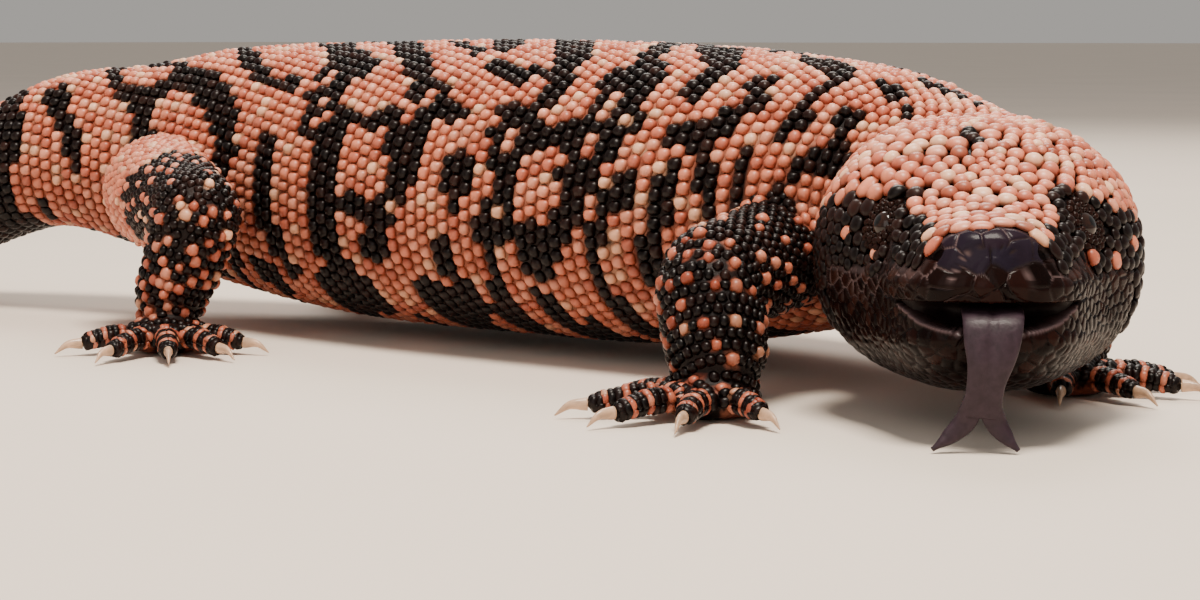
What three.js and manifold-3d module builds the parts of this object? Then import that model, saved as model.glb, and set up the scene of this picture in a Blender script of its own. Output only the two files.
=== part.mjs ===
// A gila monster as a still, life-size model: it stands with its head turned to its right
// and its forked tongue out. Millimetres, +Z up, head towards +X, floor at Z = 0.

import * as THREE from "three";
import { mergeVertices } from "three/addons/utils/BufferGeometryUtils.js";
import Module from "manifold-3d";

const wasm = await Module();
wasm.setup();

// Driving dimensions, lengths along the animal
const headLength = 60;
const neckLength = 40;
const trunkLength = 188;
const ventBehindHips = 27;
const tailLength = 140;

// Driving dimensions, widths and heights
const headWidth = 58;
const trunkWidth = 84;
const trunkTop = 67;
const bellyClearance = 2.6;
const gap = 0.3;
const beadHeight = 1.0;
const legRootReach = 17;

// Points around each length, three to a bead and a half
const neckAround = 30;
const torsoAround = 36;
const tailAround = 18;
const headAround = 36;

// Stations along the body, measured back from the occiput
const shoulderAt = neckLength;
const hipsAt = shoulderAt + trunkLength;
const ventAt = hipsAt + ventBehindHips;
const tailTipAt = ventAt + tailLength;
const midTrunkAt = (shoulderAt + hipsAt) / 2;
const tailJointAt = ventAt + 0.42 * tailLength;
const neckJointAt = 0.8 * neckLength;

const degrees = Math.PI / 180;

// A smooth curve through knots [place, value], flat at both ends
function smoothThrough(knots) {
  const last = knots.length - 1;
  const slopes = knots.map((knot, i) => {
    const before = knots[Math.max(i - 1, 0)];
    const after = knots[Math.min(i + 1, last)];
    return i === 0 || i === last ? 0 : (after[1] - before[1]) / (after[0] - before[0]);
  });
  return (place) => {
    const x = Math.min(Math.max(place, knots[0][0]), knots[last][0]);
    let i = 0;
    while (i < last - 1 && x > knots[i + 1][0]) i += 1;
    const [x0, y0] = knots[i];
    const [x1, y1] = knots[i + 1];
    const span = x1 - x0;
    const t = (x - x0) / span;
    const rise = t * t * (3 - 2 * t);
    return y0 + (y1 - y0) * rise + span * (slopes[i] * t * (1 - t) ** 2 - slopes[i + 1] * t * t * (1 - t));
  };
}

// The way the body heads, in degrees left of +X
const heading = smoothThrough([
  [0, -55],
  [10, -43],
  [22, -24],
  [shoulderAt, -12],
  [shoulderAt + 50, -6],
  [midTrunkAt, 0],
  [hipsAt, 8],
  [ventAt + 32, 15],
  [ventAt + 80, 8],
  [tailTipAt, -30],
]);
const halfWidth = smoothThrough([
  [0, 25],
  [neckLength / 2, 25],
  [shoulderAt, 32],
  [shoulderAt + 42, 0.94 * trunkWidth / 2],
  [midTrunkAt, trunkWidth / 2],
  [hipsAt - 45, 0.88 * trunkWidth / 2],
  [hipsAt, 26],
  [ventAt, 20],
  [ventAt + 30, 17.5],
  [ventAt + 80, 14.5],
  [tailTipAt, 8],
]);
const topHeight = smoothThrough([
  [0, 52],
  [neckLength / 2, 56],
  [shoulderAt, 61.5],
  [shoulderAt + 42, 65.5],
  [midTrunkAt, trunkTop],
  [hipsAt - 45, 66.5],
  [hipsAt, 65],
  [ventAt, 61],
  [ventAt + 32, 57],
  [ventAt + 80, 34.5],
  [ventAt + 110, 22],
  [tailTipAt, 16],
]);
const lowHeight = smoothThrough([
  [0, 14],
  [neckLength / 2, 18],
  [shoulderAt, 12],
  [shoulderAt + 42, 4],
  [midTrunkAt, bellyClearance],
  [hipsAt - 45, 3.5],
  [hipsAt, 9],
  [ventAt, 16],
  [ventAt + 32, 20],
  [ventAt + 80, 4],
  [ventAt + 95, 0],
  [tailTipAt, 0],
]);

// The centreline, found by stepping back from the occiput along the heading
const occiput = new THREE.Vector2(44.9, -14.5);
const centreline = [occiput.clone()];
for (let station = 0; station < tailTipAt; station += 1) {
  const turn = heading(station + 0.5) * degrees;
  const here = centreline[station];
  centreline.push(new THREE.Vector2(here.x - Math.cos(turn), here.y - Math.sin(turn)));
}

function axisAt(station) {
  const whole = Math.min(Math.max(Math.floor(station), 0), centreline.length - 2);
  return centreline[whole].clone().lerp(centreline[whole + 1], station - whole);
}

// A point on the body. Angle 0 is the spine, a quarter turn the left flank, half a turn the belly
function bodyPoint(station, angle, lift = 0) {
  const turn = heading(station) * degrees;
  const top = topHeight(station);
  const low = lowHeight(station);
  const waist = low + 0.44 * (top - low);
  const tipLength = 16;
  const round = Math.sqrt(Math.max(0, 1 - Math.max(0, 1 - (tailTipAt - station) / tipLength) ** 2));
  const across = Math.sin(angle);
  const up = Math.cos(angle);
  const squareness = up > 0 ? 0.92 : 0.7;
  const wide = (halfWidth(station) * round + lift) * Math.sign(across) * Math.abs(across) ** squareness;
  const reach = up > 0 ? top - waist : waist - low;
  const high = (reach * round + lift) * Math.sign(up) * Math.abs(up) ** 0.94;
  const axis = axisAt(station);
  return new THREE.Vector3(axis.x - Math.sin(turn) * wide, axis.y + Math.cos(turn) * wide, waist + high);
}

// Places from one end of a length to the other, a bead's row apart
function beadRows(from, to, rowStep) {
  const rows = [from];
  let place = from;
  while (place + 1.5 * rowStep(place) < to) {
    place += rowStep(place);
    rows.push(place);
  }
  rows.push(to);
  return rows;
}

// A closed tube of rows of points on a triangular lattice, with every third point raised as a
// bead. surface(place, angle, lift) gives its points, and raise(place, angle) the bead's height
function latticeTube(rows, around, surface, raise) {
  const points = [];
  rows.forEach((place, row) => {
    for (let column = 0; column < around; column += 1) {
      const angle = 2 * Math.PI * (column + 0.5 * (row % 2)) / around;
      const onBead = (((column - Math.floor(row / 2) - row) % 3) + 3) % 3 === 0;
      const inside = row > 0 && row < rows.length - 1;
      points.push(surface(place, angle, onBead && inside ? raise(place, angle) : 0));
    }
  });
  const faces = [];
  for (let row = 0; row < rows.length - 1; row += 1) {
    for (let column = 0; column < around; column += 1) {
      const next = (column + 1) % around;
      const a = row * around + column;
      const b = row * around + next;
      const c = (row + 1) * around + column;
      const d = (row + 1) * around + next;
      faces.push(...(row % 2 === 0 ? [a, b, c, b, d, c] : [a, b, d, a, d, c]));
    }
  }
  const centreOf = (row) => {
    const ring = points.slice(row * around, (row + 1) * around);
    return ring.reduce((sum, point) => sum.add(point), new THREE.Vector3()).divideScalar(around);
  };
  const lastRow = rows.length - 1;
  const startCentre = points.length;
  points.push(centreOf(0), centreOf(lastRow));
  for (let column = 0; column < around; column += 1) {
    const next = (column + 1) % around;
    faces.push(startCentre, next, column);
    faces.push(startCentre + 1, lastRow * around + column, lastRow * around + next);
  }
  return closedGeometry(points, faces);
}

// A geometry from points and faces, turned so that its faces point out
function closedGeometry(points, faces) {
  const geometry = new THREE.BufferGeometry().setFromPoints(points);
  let volume = 0;
  for (let i = 0; i < faces.length; i += 3) {
    const [a, b, c] = [points[faces[i]], points[faces[i + 1]], points[faces[i + 2]]];
    volume += a.dot(new THREE.Vector3().crossVectors(b, c));
  }
  if (volume < 0) faces.reverse();
  geometry.setIndex(faces);
  return geometry;
}

function asSolid(geometry) {
  const bare = geometry.clone();
  bare.deleteAttribute("normal");
  bare.deleteAttribute("uv");
  const merged = mergeVertices(bare, 1e-4);
  return new wasm.Manifold(new wasm.Mesh({
    numProp: 3,
    vertProperties: new Float32Array(merged.getAttribute("position").array),
    triVerts: new Uint32Array(merged.getIndex().array),
  }));
}

// The largest closed surface of a solid, as a geometry
function asGeometry(solid) {
  const pieces = solid.decompose().sort((a, b) => b.volume() - a.volume());
  const mesh = pieces[0].getMesh();
  const geometry = new THREE.BufferGeometry();
  const positions = new Float32Array(mesh.numVert * 3);
  for (let i = 0; i < mesh.numVert; i += 1) {
    for (let k = 0; k < 3; k += 1) positions[3 * i + k] = mesh.vertProperties[mesh.numProp * i + k];
  }
  geometry.setAttribute("position", new THREE.BufferAttribute(positions, 3));
  geometry.setIndex(new THREE.BufferAttribute(new Uint32Array(mesh.triVerts), 1));
  return geometry;
}

// How high a body bead stands, with none under the roots of the legs
function bodyRaise(station, angle) {
  const fromSpine = Math.abs(Math.atan2(Math.sin(angle), Math.cos(angle)));
  const underLeg = [shoulderAt, hipsAt].some((root) => {
    const along = (station - root) / legRootReach;
    const round = (fromSpine - 0.6 * Math.PI) / 0.8;
    return along ** 2 + round ** 2 < 1;
  });
  return underLeg ? 0 : beadHeight;
}

function bodyLength(from, to, around, lift = 0, raise = bodyRaise) {
  const rowStep = (station) => {
    const girth = Math.PI * (halfWidth(station) + (topHeight(station) - lowHeight(station)) / 2);
    return girth / around * Math.sqrt(3) / 2;
  };
  const start = from + gap / 2 - lift;
  const stop = to === tailTipAt ? to - 0.3 : to - gap / 2 + lift;
  const surface = (station, angle, height) => bodyPoint(station, angle, height + lift);
  return flattenedOnFloor(latticeTube(beadRows(start, stop, rowStep), around, surface, raise));
}

// A round limb length along a smooth curve, with round ends, radii given from end to end
function limbLength({ path, radii, around, step, lift = 0, raise = 0, capRows = [0.02, 0.14, 0.42] }) {
  const curve = new THREE.CatmullRomCurve3(path);
  const length = curve.getLength();
  const frames = 40;
  const { normals, binormals } = curve.computeFrenetFrames(frames);
  const radiusAt = smoothThrough(radii.map((radius, i) => [i * length / (radii.length - 1), radius]));
  const surface = (place, angle, height) => {
    const frame = Math.round(frames * place / length);
    const roundness = (fromEnd, radius) => Math.sqrt(1 - Math.max(0, 1 - fromEnd / radius) ** 2);
    const radius = radiusAt(place);
    const ends = roundness(place, radius) * roundness(length - place, radius);
    const middle = curve.getPointAt(place / length);
    return middle
      .addScaledVector(normals[frame], Math.cos(angle) * (radius * ends + height + lift))
      .addScaledVector(binormals[frame], Math.sin(angle) * (radius * ends + height + lift));
  };
  const first = radii[0];
  const last = radii[radii.length - 1];
  const rows = [
    ...capRows.map((share) => share * first),
    ...beadRows(0.8 * first, length - 0.8 * last, () => step),
    ...capRows.map((share) => length - share * last).reverse(),
  ];
  return latticeTube(rows, around, surface, (place) => {
    return place > 0.3 * first && place < length - 0.3 * last ? raise : 0;
  });
}

// Everything that reaches below the floor is pressed flat on it
function flattenedOnFloor(geometry) {
  const position = geometry.getAttribute("position");
  for (let i = 0; i < position.count; i += 1) position.setZ(i, Math.max(position.getZ(i), 0));
  return geometry;
}

function ellipsoid(centre, radii, turn, around = 12, rows = 8) {
  const geometry = new THREE.SphereGeometry(1, around, rows);
  geometry.scale(radii[0], radii[1], radii[2]);
  geometry.rotateZ(turn);
  geometry.translate(centre.x, centre.y, centre.z);
  return geometry;
}

const parts = new THREE.Group();

function addPart(name, geometry, finish) {
  const mesh = new THREE.Mesh(geometry, new THREE.MeshStandardMaterial(finish));
  mesh.name = name;
  parts.add(mesh);
}

const skinFinish = { color: 0xd98a6a, roughness: 0.5, metalness: 0 };
const darkSkinFinish = { color: 0x2a2422, roughness: 0.4, metalness: 0 };
const faceFinish = { color: 0x1c1b1e, roughness: 0.25, metalness: 0 };
const eyeFinish = { color: 0x0b0908, roughness: 0.1, metalness: 0 };
const tongueFinish = { color: 0x6d5f74, roughness: 0.4, metalness: 0 };
const clawFinish = { color: 0xc9a98a, roughness: 0.45, metalness: 0 };

addPart("neck", bodyLength(0, neckJointAt, neckAround), skinFinish);
addPart("torso", bodyLength(neckJointAt, ventAt, torsoAround), skinFinish);
addPart("tail_base", bodyLength(ventAt, tailJointAt, tailAround), skinFinish);
addPart("tail_end", bodyLength(tailJointAt, tailTipAt, tailAround), skinFinish);

// The head, a straight run ahead of the occiput. Places are measured back from the snout's tip
const headTurn = heading(0) * degrees;
const mouthCorner = { back: 34, height: 25.4 };
const headHalfWidth = smoothThrough([
  [0, 3],
  [1.2, 8],
  [4, 12],
  [9, 15],
  [17, 18],
  [25, 21.5],
  [34, 26.5],
  [43, headWidth / 2],
  [51, 28.4],
  [headLength, 25],
]);
const headTop = smoothThrough([
  [0, 32],
  [1.2, 35],
  [4, 37],
  [12, 39],
  [24, 43.5],
  [36, 49],
  [47, 52],
  [headLength, 53],
]);
const headLow = smoothThrough([
  [0, 22],
  [1.2, 17],
  [4, 12.5],
  [10, 9.5],
  [22, 7.5],
  [40, 7.5],
  [52, 10],
  [headLength, 14],
]);

function headFrame(back, left, height) {
  const ahead = headLength - back;
  return new THREE.Vector3(
    occiput.x + Math.cos(headTurn) * ahead - Math.sin(headTurn) * left,
    occiput.y + Math.sin(headTurn) * ahead + Math.cos(headTurn) * left,
    height,
  );
}

// How far the ridge over each eye stands out
const browHeight = 1.3;

function headPoint(back, angle, lift = 0) {
  const top = headTop(back);
  const low = headLow(back);
  const waist = low + 0.46 * (top - low);
  const across = Math.sin(angle);
  const up = Math.cos(angle);
  const reach = up > 0 ? top - waist : waist - low;
  const high = reach * Math.sign(up) * Math.abs(up) ** 0.86;
  const height = waist + high;
  const lips = Math.exp(-(((height - 27.2) / 2) ** 2)) + Math.exp(-(((height - 17.2) / 2) ** 2));
  const lipSwell = 0.8 * lips * Math.max(0, 1 - back / mouthCorner.back);
  const fromCrown = Math.abs(Math.atan2(across, up));
  const brow = browHeight * Math.exp(-(((back - 22) / 7) ** 2) - ((fromCrown - 0.7) / 0.2) ** 2);
  const outward = lift + lipSwell + brow;
  const wide = headHalfWidth(back) * Math.sign(across) * Math.abs(across) ** 0.78;
  return headFrame(back - lipSwell, wide + outward * across, height + (lift + brow) * up);
}

// Head beads stand on the crown and temples, and fade out towards the snout and the jaw
function headRaise(back, angle) {
  const onCrown = Math.max(0, Math.cos(angle) + 0.35);
  const behindSnout = Math.min(1, Math.max(0, (back - 8) / 10));
  return 1.1 * Math.min(1, 1.6 * onCrown) * behindSnout;
}

const headBlank = latticeTube(
  [0.1, 0.5, 1.3, 2.6, ...beadRows(4.4, headLength - gap / 2, () => 3.6)],
  headAround,
  headPoint,
  headRaise,
);

// A plate with the given outline in the head's own side view, by default right through the head
function acrossHead(outline, width = 2 * headWidth) {
  const shape = new THREE.Shape(outline.map(([back, height]) => new THREE.Vector2(back, height)));
  const geometry = new THREE.ExtrudeGeometry(shape, { depth: width, bevelEnabled: false });
  const position = geometry.getAttribute("position");
  for (let i = 0; i < position.count; i += 1) {
    const place = headFrame(position.getX(i), position.getZ(i) - width / 2, position.getY(i));
    position.setXYZ(i, place.x, place.y, place.z);
  }
  return asSolid(outwardGeometry(geometry));
}

function outwardGeometry(geometry) {
  geometry.deleteAttribute("normal");
  geometry.deleteAttribute("uv");
  const merged = mergeVertices(geometry, 1e-4);
  const position = merged.getAttribute("position");
  const points = Array.from({ length: position.count }, (unused, i) => {
    return new THREE.Vector3().fromBufferAttribute(position, i);
  });
  return closedGeometry(points, Array.from(merged.getIndex().array));
}

const upperLip = [[-6, 24.9], [6, 24.6], [12, 24.4]];
const lowerLip = [[10.5, 24], [6.5, 22.6], [3, 20.7], [0.5, 19.5], [-6, 19.2]];
const corner = [mouthCorner.back, mouthCorner.height];
const jawBack = { back: 50, height: 0 };
// The lips part in front, and the hollow behind them gives the tongue its room
const mouthHollow = acrossHead([[-6, 24.9], [22, 24.9], [22, 19.2], [-6, 19.2]], 17);
const mouthGape = acrossHead([...upperLip, corner, ...lowerLip]).add(mouthHollow);
const jawSlit = acrossHead([
  [corner[0] - 0.4, corner[1] - 0.3],
  [corner[0], corner[1]],
  [jawBack.back + gap, jawBack.height],
  [jawBack.back, jawBack.height],
]);
const jawSide = acrossHead([
  ...upperLip,
  corner,
  [jawBack.back + gap / 2, jawBack.height],
  [-6, jawBack.height],
]);

const headSolid = asSolid(headBlank);
const jawSolid = headSolid.intersect(jawSide).subtract(mouthGape).subtract(jawSlit);
let skullSolid = headSolid.subtract(jawSide).subtract(jawSlit).subtract(mouthGape);

// Eyes deep in their sockets, each with a ring of lids, then the nostrils and the cups of the ears
const eyeRadius = 2.9;
const eyeDepth = 1.3;
const eyePlace = { back: 23, side: 17.2, height: 36 };
const sides = [["left", 1], ["right", -1]];
for (const [sideName, side] of sides) {
  const centre = headFrame(eyePlace.back, side * eyePlace.side, eyePlace.height);
  const outward = headFrame(eyePlace.back - 0.45, side * (eyePlace.side + 0.75), eyePlace.height + 0.45)
    .sub(centre)
    .normalize();
  const lids = new THREE.TorusGeometry(eyeRadius + 0.7, 1, 6, 14);
  lids.applyQuaternion(new THREE.Quaternion().setFromUnitVectors(new THREE.Vector3(0, 0, 1), outward));
  lids.translate(centre.x, centre.y, centre.z);
  const eyeCentre = centre.clone().addScaledVector(outward, -eyeDepth);
  const radii = [eyeRadius, eyeRadius, eyeRadius];
  const socket = ellipsoid(eyeCentre, radii.map((radius) => radius + gap), 0, 12, 8);
  skullSolid = skullSolid.add(asSolid(lids)).subtract(asSolid(socket));
  addPart(`eye_${sideName}`, ellipsoid(eyeCentre, radii, 0, 12, 8), eyeFinish);

  const nostril = ellipsoid(headFrame(3.2, side * 8.6, 31.5), [1.6, 1.6, 1.3], headTurn, 8, 6);
  const earTurn = headTurn + side * 0.3;
  const ear = ellipsoid(headFrame(52.5, side * 29, 27), [1.6, 1.9, 3.6], earTurn, 8, 6);
  skullSolid = skullSolid.subtract(asSolid(nostril)).subtract(asSolid(ear));
}
addPart("head", asGeometry(skullSolid), faceFinish);
addPart("lower_jaw", asGeometry(jawSolid), faceFinish);

// The tongue: a flat ribbon out of the mouth and down, that ends in two tines on the floor
const tongueHalfThickness = 0.8;
const tongueForkHeight = 6;
function tongueStrip(route, halfWidths, around, step) {
  const curve = new THREE.CatmullRomCurve3(route.map(([back, left, height]) => {
    return headFrame(back, left, height);
  }));
  const length = curve.getLength();
  const widthAt = smoothThrough(halfWidths.map((width, i) => [i * length / (halfWidths.length - 1), width]));
  const aside = headFrame(0, 1, 0).sub(headFrame(0, 0, 0));
  const surface = (place, angle) => {
    const along = curve.getTangentAt(place / length);
    const through = new THREE.Vector3().crossVectors(along, aside).normalize();
    const level = new THREE.Vector3().crossVectors(through, along).normalize();
    return curve.getPointAt(place / length)
      .addScaledVector(level, Math.cos(angle) * widthAt(place))
      .addScaledVector(through, Math.sin(angle) * tongueHalfThickness);
  };
  return latticeTube(beadRows(0, length, () => step), around, surface, () => 0);
}
const ribbon = tongueStrip(
  [
    [20, 0.5, 22.6],
    [12, 0.5, 22.9],
    [4, 0.5, 22.9],
    [-1.6, 0.4, 21.4],
    [-3.4, 0, 16],
    [-3, -0.9, 10.5],
    [-1.8, -1.3, tongueForkHeight],
  ],
  [4.6, 5, 5.1, 5.1, 4.6, 3.2, 3.2],
  10,
  3,
);
const tines = sides.map(([, side]) => tongueStrip(
  [
    [-2.4, side * 1.2 - 1.3, 9],
    [-1.6, side * 2.4 - 1.5, 5.4],
    [-1.8, side * 4.8 - 1.9, 2.6],
    [-2.6, side * 7 - 2.3, 0.7],
  ],
  [1.8, 1.9, 1.4, 0.4],
  6,
  2.2,
));
const tongueSolid = tines.reduce(
  (solid, tine) => solid.add(asSolid(flattenedOnFloor(tine))),
  asSolid(ribbon),
);
addPart("tongue", asGeometry(tongueSolid), tongueFinish);

// Legs. Points are [x, y, z] from the shoulder end to the wrist or ankle, toes are
// [direction in degrees left of +X, length]
const legs = [
  {
    name: "fore_right",
    hip: [5, -17, 27],
    knee: [12, -52, 23.5],
    ankle: [19, -58, 9],
    radii: [11.5, 10.5, 8.8],
    palm: [19, -60],
    toes: [[-22, 11], [-66, 14], [-102, 16], [-134, 16], [-170, 12]],
  },
  {
    name: "fore_left",
    hip: [8, 20, 31],
    knee: [27, 41, 25],
    ankle: [49, 14, 8.5],
    radii: [12, 10, 8.2],
    palm: [51, 9],
    toes: [[-62, 11], [-20, 14], [16, 16], [48, 15], [92, 12]],
  },
  {
    name: "hind_right",
    hip: [-176, -20, 32],
    knee: [-131, -48, 29],
    ankle: [-137, -52, 9],
    radii: [14, 10, 7.6],
    palm: [-134, -55],
    toes: [[22, 12], [-10, 15], [-40, 17], [-72, 16], [-116, 12]],
  },
  {
    name: "hind_left",
    hip: [-176, 6, 32],
    knee: [-158, 44, 28],
    ankle: [-180, 51, 9],
    radii: [14, 10, 7.6],
    palm: [-178, 54],
    toes: [[-10, 12], [22, 15], [52, 17], [84, 16], [128, 12]],
  },
];
const vector = ([x, y, z]) => new THREE.Vector3(x, y, z);

for (const leg of legs) {
  const [rootRadius, kneeRadius, ankleRadius] = leg.radii;
  const upper = {
    path: [vector(leg.hip), vector(leg.hip).lerp(vector(leg.knee), 0.5), vector(leg.knee)],
    radii: [rootRadius, (rootRadius + kneeRadius) / 2, kneeRadius],
    around: 18,
    step: 3.4,
  };
  const lower = {
    path: [vector(leg.knee), vector(leg.knee).lerp(vector(leg.ankle), 0.5), vector(leg.ankle)],
    radii: [kneeRadius, 0.52 * (kneeRadius + ankleRadius), ankleRadius],
    around: 15,
    step: 3.4,
  };
  // Each upper length reaches on past its joint by its own radius, as the round ends need
  for (const length of [upper, lower]) {
    const [start, , stop] = length.path;
    const along = stop.clone().sub(start).normalize();
    stop.addScaledVector(along, 0.7 * length.radii[2]);
    start.addScaledVector(along, -0.7 * length.radii[0]);
  }
  const torsoBlock = asSolid(bodyLength(neckJointAt, ventAt, torsoAround, gap));
  const neckBlock = asSolid(bodyLength(0, neckJointAt, neckAround, gap));
  const upperSolid = asSolid(limbLength({ ...upper, raise: beadHeight }))
    .subtract(torsoBlock)
    .subtract(neckBlock);
  addPart(`${leg.name}_upper`, asGeometry(upperSolid), darkSkinFinish);

  const upperBlock = asSolid(limbLength({ ...upper, raise: beadHeight, lift: gap }));
  const lowerSolid = asSolid(flattenedOnFloor(limbLength({ ...lower, raise: beadHeight })))
    .subtract(upperBlock)
    .subtract(torsoBlock)
    .subtract(neckBlock);
  const [palmX, palmY] = leg.palm;
  const palmTurn = leg.toes[2][0] * degrees;
  const palmCentre = new THREE.Vector3(palmX, palmY, 3.4);
  const palm = flattenedOnFloor(ellipsoid(palmCentre, [9.5, 8.5, 5.4], palmTurn, 10, 6));
  let footSolid = asSolid(palm);
  leg.toes.forEach(([direction, length], toe) => {
    const out = new THREE.Vector3(Math.cos(direction * degrees), Math.sin(direction * degrees), 0);
    const at = (distance, height) => new THREE.Vector3(palmX, palmY, height).addScaledVector(out, distance);
    const path = [at(3, 3.6), at(8 + length * 0.4, 3.9), at(7 + length, 2.3)];
    const toeTube = limbLength({ path, radii: [3, 2.7, 2.2], around: 6, step: 4.5, capRows: [0.04, 0.36] });
    footSolid = footSolid.add(asSolid(flattenedOnFloor(toeTube)));
    const clawRoot = 7 + length + gap;
    const clawPath = [at(clawRoot, 2.5), at(clawRoot + 2.6, 2.4), at(clawRoot + 5, 0.7)];
    addPart(`${leg.name}_claw_${toe + 1}`, claw(clawPath), clawFinish);
  });
  const lowerBlock = asSolid(limbLength({ ...lower, raise: beadHeight, lift: gap }));
  addPart(`${leg.name}_lower`, asGeometry(lowerSolid), darkSkinFinish);
  addPart(`${leg.name}_foot`, asGeometry(footSolid.subtract(lowerBlock)), darkSkinFinish);
}

// A claw: a short cone that bends down to its point
function claw(path) {
  const curve = new THREE.CatmullRomCurve3(path);
  const around = 6;
  const surface = (place, angle) => {
    const radius = 1.15 * (1 - 0.85 * place);
    const along = curve.getTangentAt(place);
    const side = new THREE.Vector3(-along.y, along.x, 0).normalize();
    const up = new THREE.Vector3().crossVectors(along, side);
    return curve.getPointAt(place)
      .addScaledVector(side, Math.cos(angle) * radius * 0.8)
      .addScaledVector(up, Math.sin(angle) * radius);
  };
  return latticeTube([0, 0.5, 1], around, surface, () => 0);
}

// The origin is under the middle of the whole animal, on the floor
const whole = new THREE.Box3().setFromObject(parts);
const middle = whole.getCenter(new THREE.Vector3());
parts.position.set(-middle.x, -middle.y, -whole.min.z);

export default parts;
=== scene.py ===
import math
import bpy
import numpy as np
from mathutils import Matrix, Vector
from mathutils.bvhtree import BVHTree


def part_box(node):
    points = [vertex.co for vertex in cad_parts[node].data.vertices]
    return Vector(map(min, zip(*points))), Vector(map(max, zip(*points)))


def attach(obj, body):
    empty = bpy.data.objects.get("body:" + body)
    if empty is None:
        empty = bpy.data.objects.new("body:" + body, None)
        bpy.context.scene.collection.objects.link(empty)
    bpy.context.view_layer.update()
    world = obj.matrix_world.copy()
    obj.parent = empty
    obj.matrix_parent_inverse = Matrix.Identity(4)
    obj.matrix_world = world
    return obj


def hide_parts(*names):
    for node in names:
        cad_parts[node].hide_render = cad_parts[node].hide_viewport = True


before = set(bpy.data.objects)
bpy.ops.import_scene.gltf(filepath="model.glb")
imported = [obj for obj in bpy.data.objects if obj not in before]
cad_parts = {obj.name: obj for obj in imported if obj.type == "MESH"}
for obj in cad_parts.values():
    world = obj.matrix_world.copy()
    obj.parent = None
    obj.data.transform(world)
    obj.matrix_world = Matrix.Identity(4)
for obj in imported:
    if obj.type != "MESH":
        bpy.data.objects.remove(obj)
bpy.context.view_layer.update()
mm = 0.001
seeded = np.random.default_rng(41)

# Camera: the photograph's own viewing angle
view = {"place": (316.6, -445.8, 68.0), "turn": 40.0, "down": 5.5, "lens": 82.08}


def makeCamera():
    data = bpy.data.cameras.new("camera")
    data.lens = view["lens"]
    data.sensor_width = 36.0
    data.clip_start = 0.01
    camera = bpy.data.objects.new("camera", data)
    camera.location = toFrame(view["place"])
    camera.rotation_euler = (math.radians(90 - view["down"]), 0.0, math.radians(view["turn"]))
    bpy.context.collection.objects.link(camera)
    bpy.context.scene.camera = camera


# Small helpers
def smoothStep(share):
    return share * share * (3 - 2 * share)


def ramp(value, start, room):
    # 0 up to the start, then up to 1 over the room; with a room under 0 it falls to 0 at the start
    return np.clip((value - start) / room, 0, 1)


def bell(away, width):
    return np.exp(-(away / width) ** 2)


def signedPower(value, power):
    return np.sign(value) * np.abs(value) ** power


def unit(vectors):
    return vectors / np.maximum(np.linalg.norm(vectors, axis=-1, keepdims=True), 1e-9)


def levelled(vectors, up):
    # The part of the vectors at right angles to up, one long
    return unit(vectors - np.sum(vectors * up, -1, keepdims=True) * up)


def ringAngles(count):
    return np.linspace(0, 2 * np.pi, count, endpoint=False)


def lengthsAlong(line):
    return np.concatenate([[0], np.cumsum(np.linalg.norm(np.diff(line, axis=0), axis=1))])


def knotsAt(knots, place):
    return np.interp(place, *zip(*knots))


# The animal's own frame is in mm with the neck's joint at the occiput, as the CAD measures it
body = {
    "length": 395.0,  # neck to the tail's tip, along the spine
    "occiput": (44.9, -14.5),
    "heading": [(0, -55), (10, -43), (22, -24), (40, -12), (90, -6), (134, 0), (228, 8), (287, 15),
                (335, 8), (395, -30)],
    "halfWidth": [(0, 25), (20, 25), (40, 32), (82, 39.48), (134, 42), (183, 36.96), (228, 26),
                  (255, 20), (285, 17.5), (335, 14.5), (395, 8)],
    "top": [(0, 52), (20, 56), (40, 61.5), (82, 65.5), (134, 67), (183, 66.5), (228, 65), (255, 61),
            (287, 57), (335, 34.5), (365, 22), (395, 16)],
    "low": [(0, 14), (20, 18), (40, 12), (82, 4), (134, 2.6), (183, 3.5), (228, 9), (255, 16),
            (287, 20), (335, 4), (350, 0), (395, 0)],
    "tipRound": 16.0,
    "waist": 0.44,  # height of the widest place, as a share of the section
    "powers": (0.92, 0.7, 0.94),  # of the width above and below the waist, and of the height
    "skinDepth": 0.9,  # the skin lies this far inside the CAD's plain surface
}


def smoothThrough(knots):
    # A cubic through the knots, flat at both ends, its slopes taken from the neighbours
    x = np.array([k[0] for k in knots], float)
    y = np.array([k[1] for k in knots], float)
    slope = np.zeros(len(x))
    slope[1:-1] = (y[2:] - y[:-2]) / (x[2:] - x[:-2])

    def at(place):
        p = np.clip(place, x[0], x[-1])
        i = np.clip(np.searchsorted(x, p, side="left") - 1, 0, len(x) - 2)
        span = x[i + 1] - x[i]
        t = (p - x[i]) / span
        bend = slope[i] * t * (1 - t) ** 2 - slope[i + 1] * t * t * (1 - t)
        return y[i] + (y[i + 1] - y[i]) * smoothStep(t) + span * bend

    return at


headingAt, halfWidthAt = smoothThrough(body["heading"]), smoothThrough(body["halfWidth"])
topAt, lowAt = smoothThrough(body["top"]), smoothThrough(body["low"])
stations = np.arange(0, body["length"] + 1)
turns = np.radians(headingAt(stations[:-1] + 0.5))
spineX = body["occiput"][0] - np.concatenate([[0], np.cumsum(np.cos(turns))])
spineY = body["occiput"][1] - np.concatenate([[0], np.cumsum(np.sin(turns))])


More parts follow.
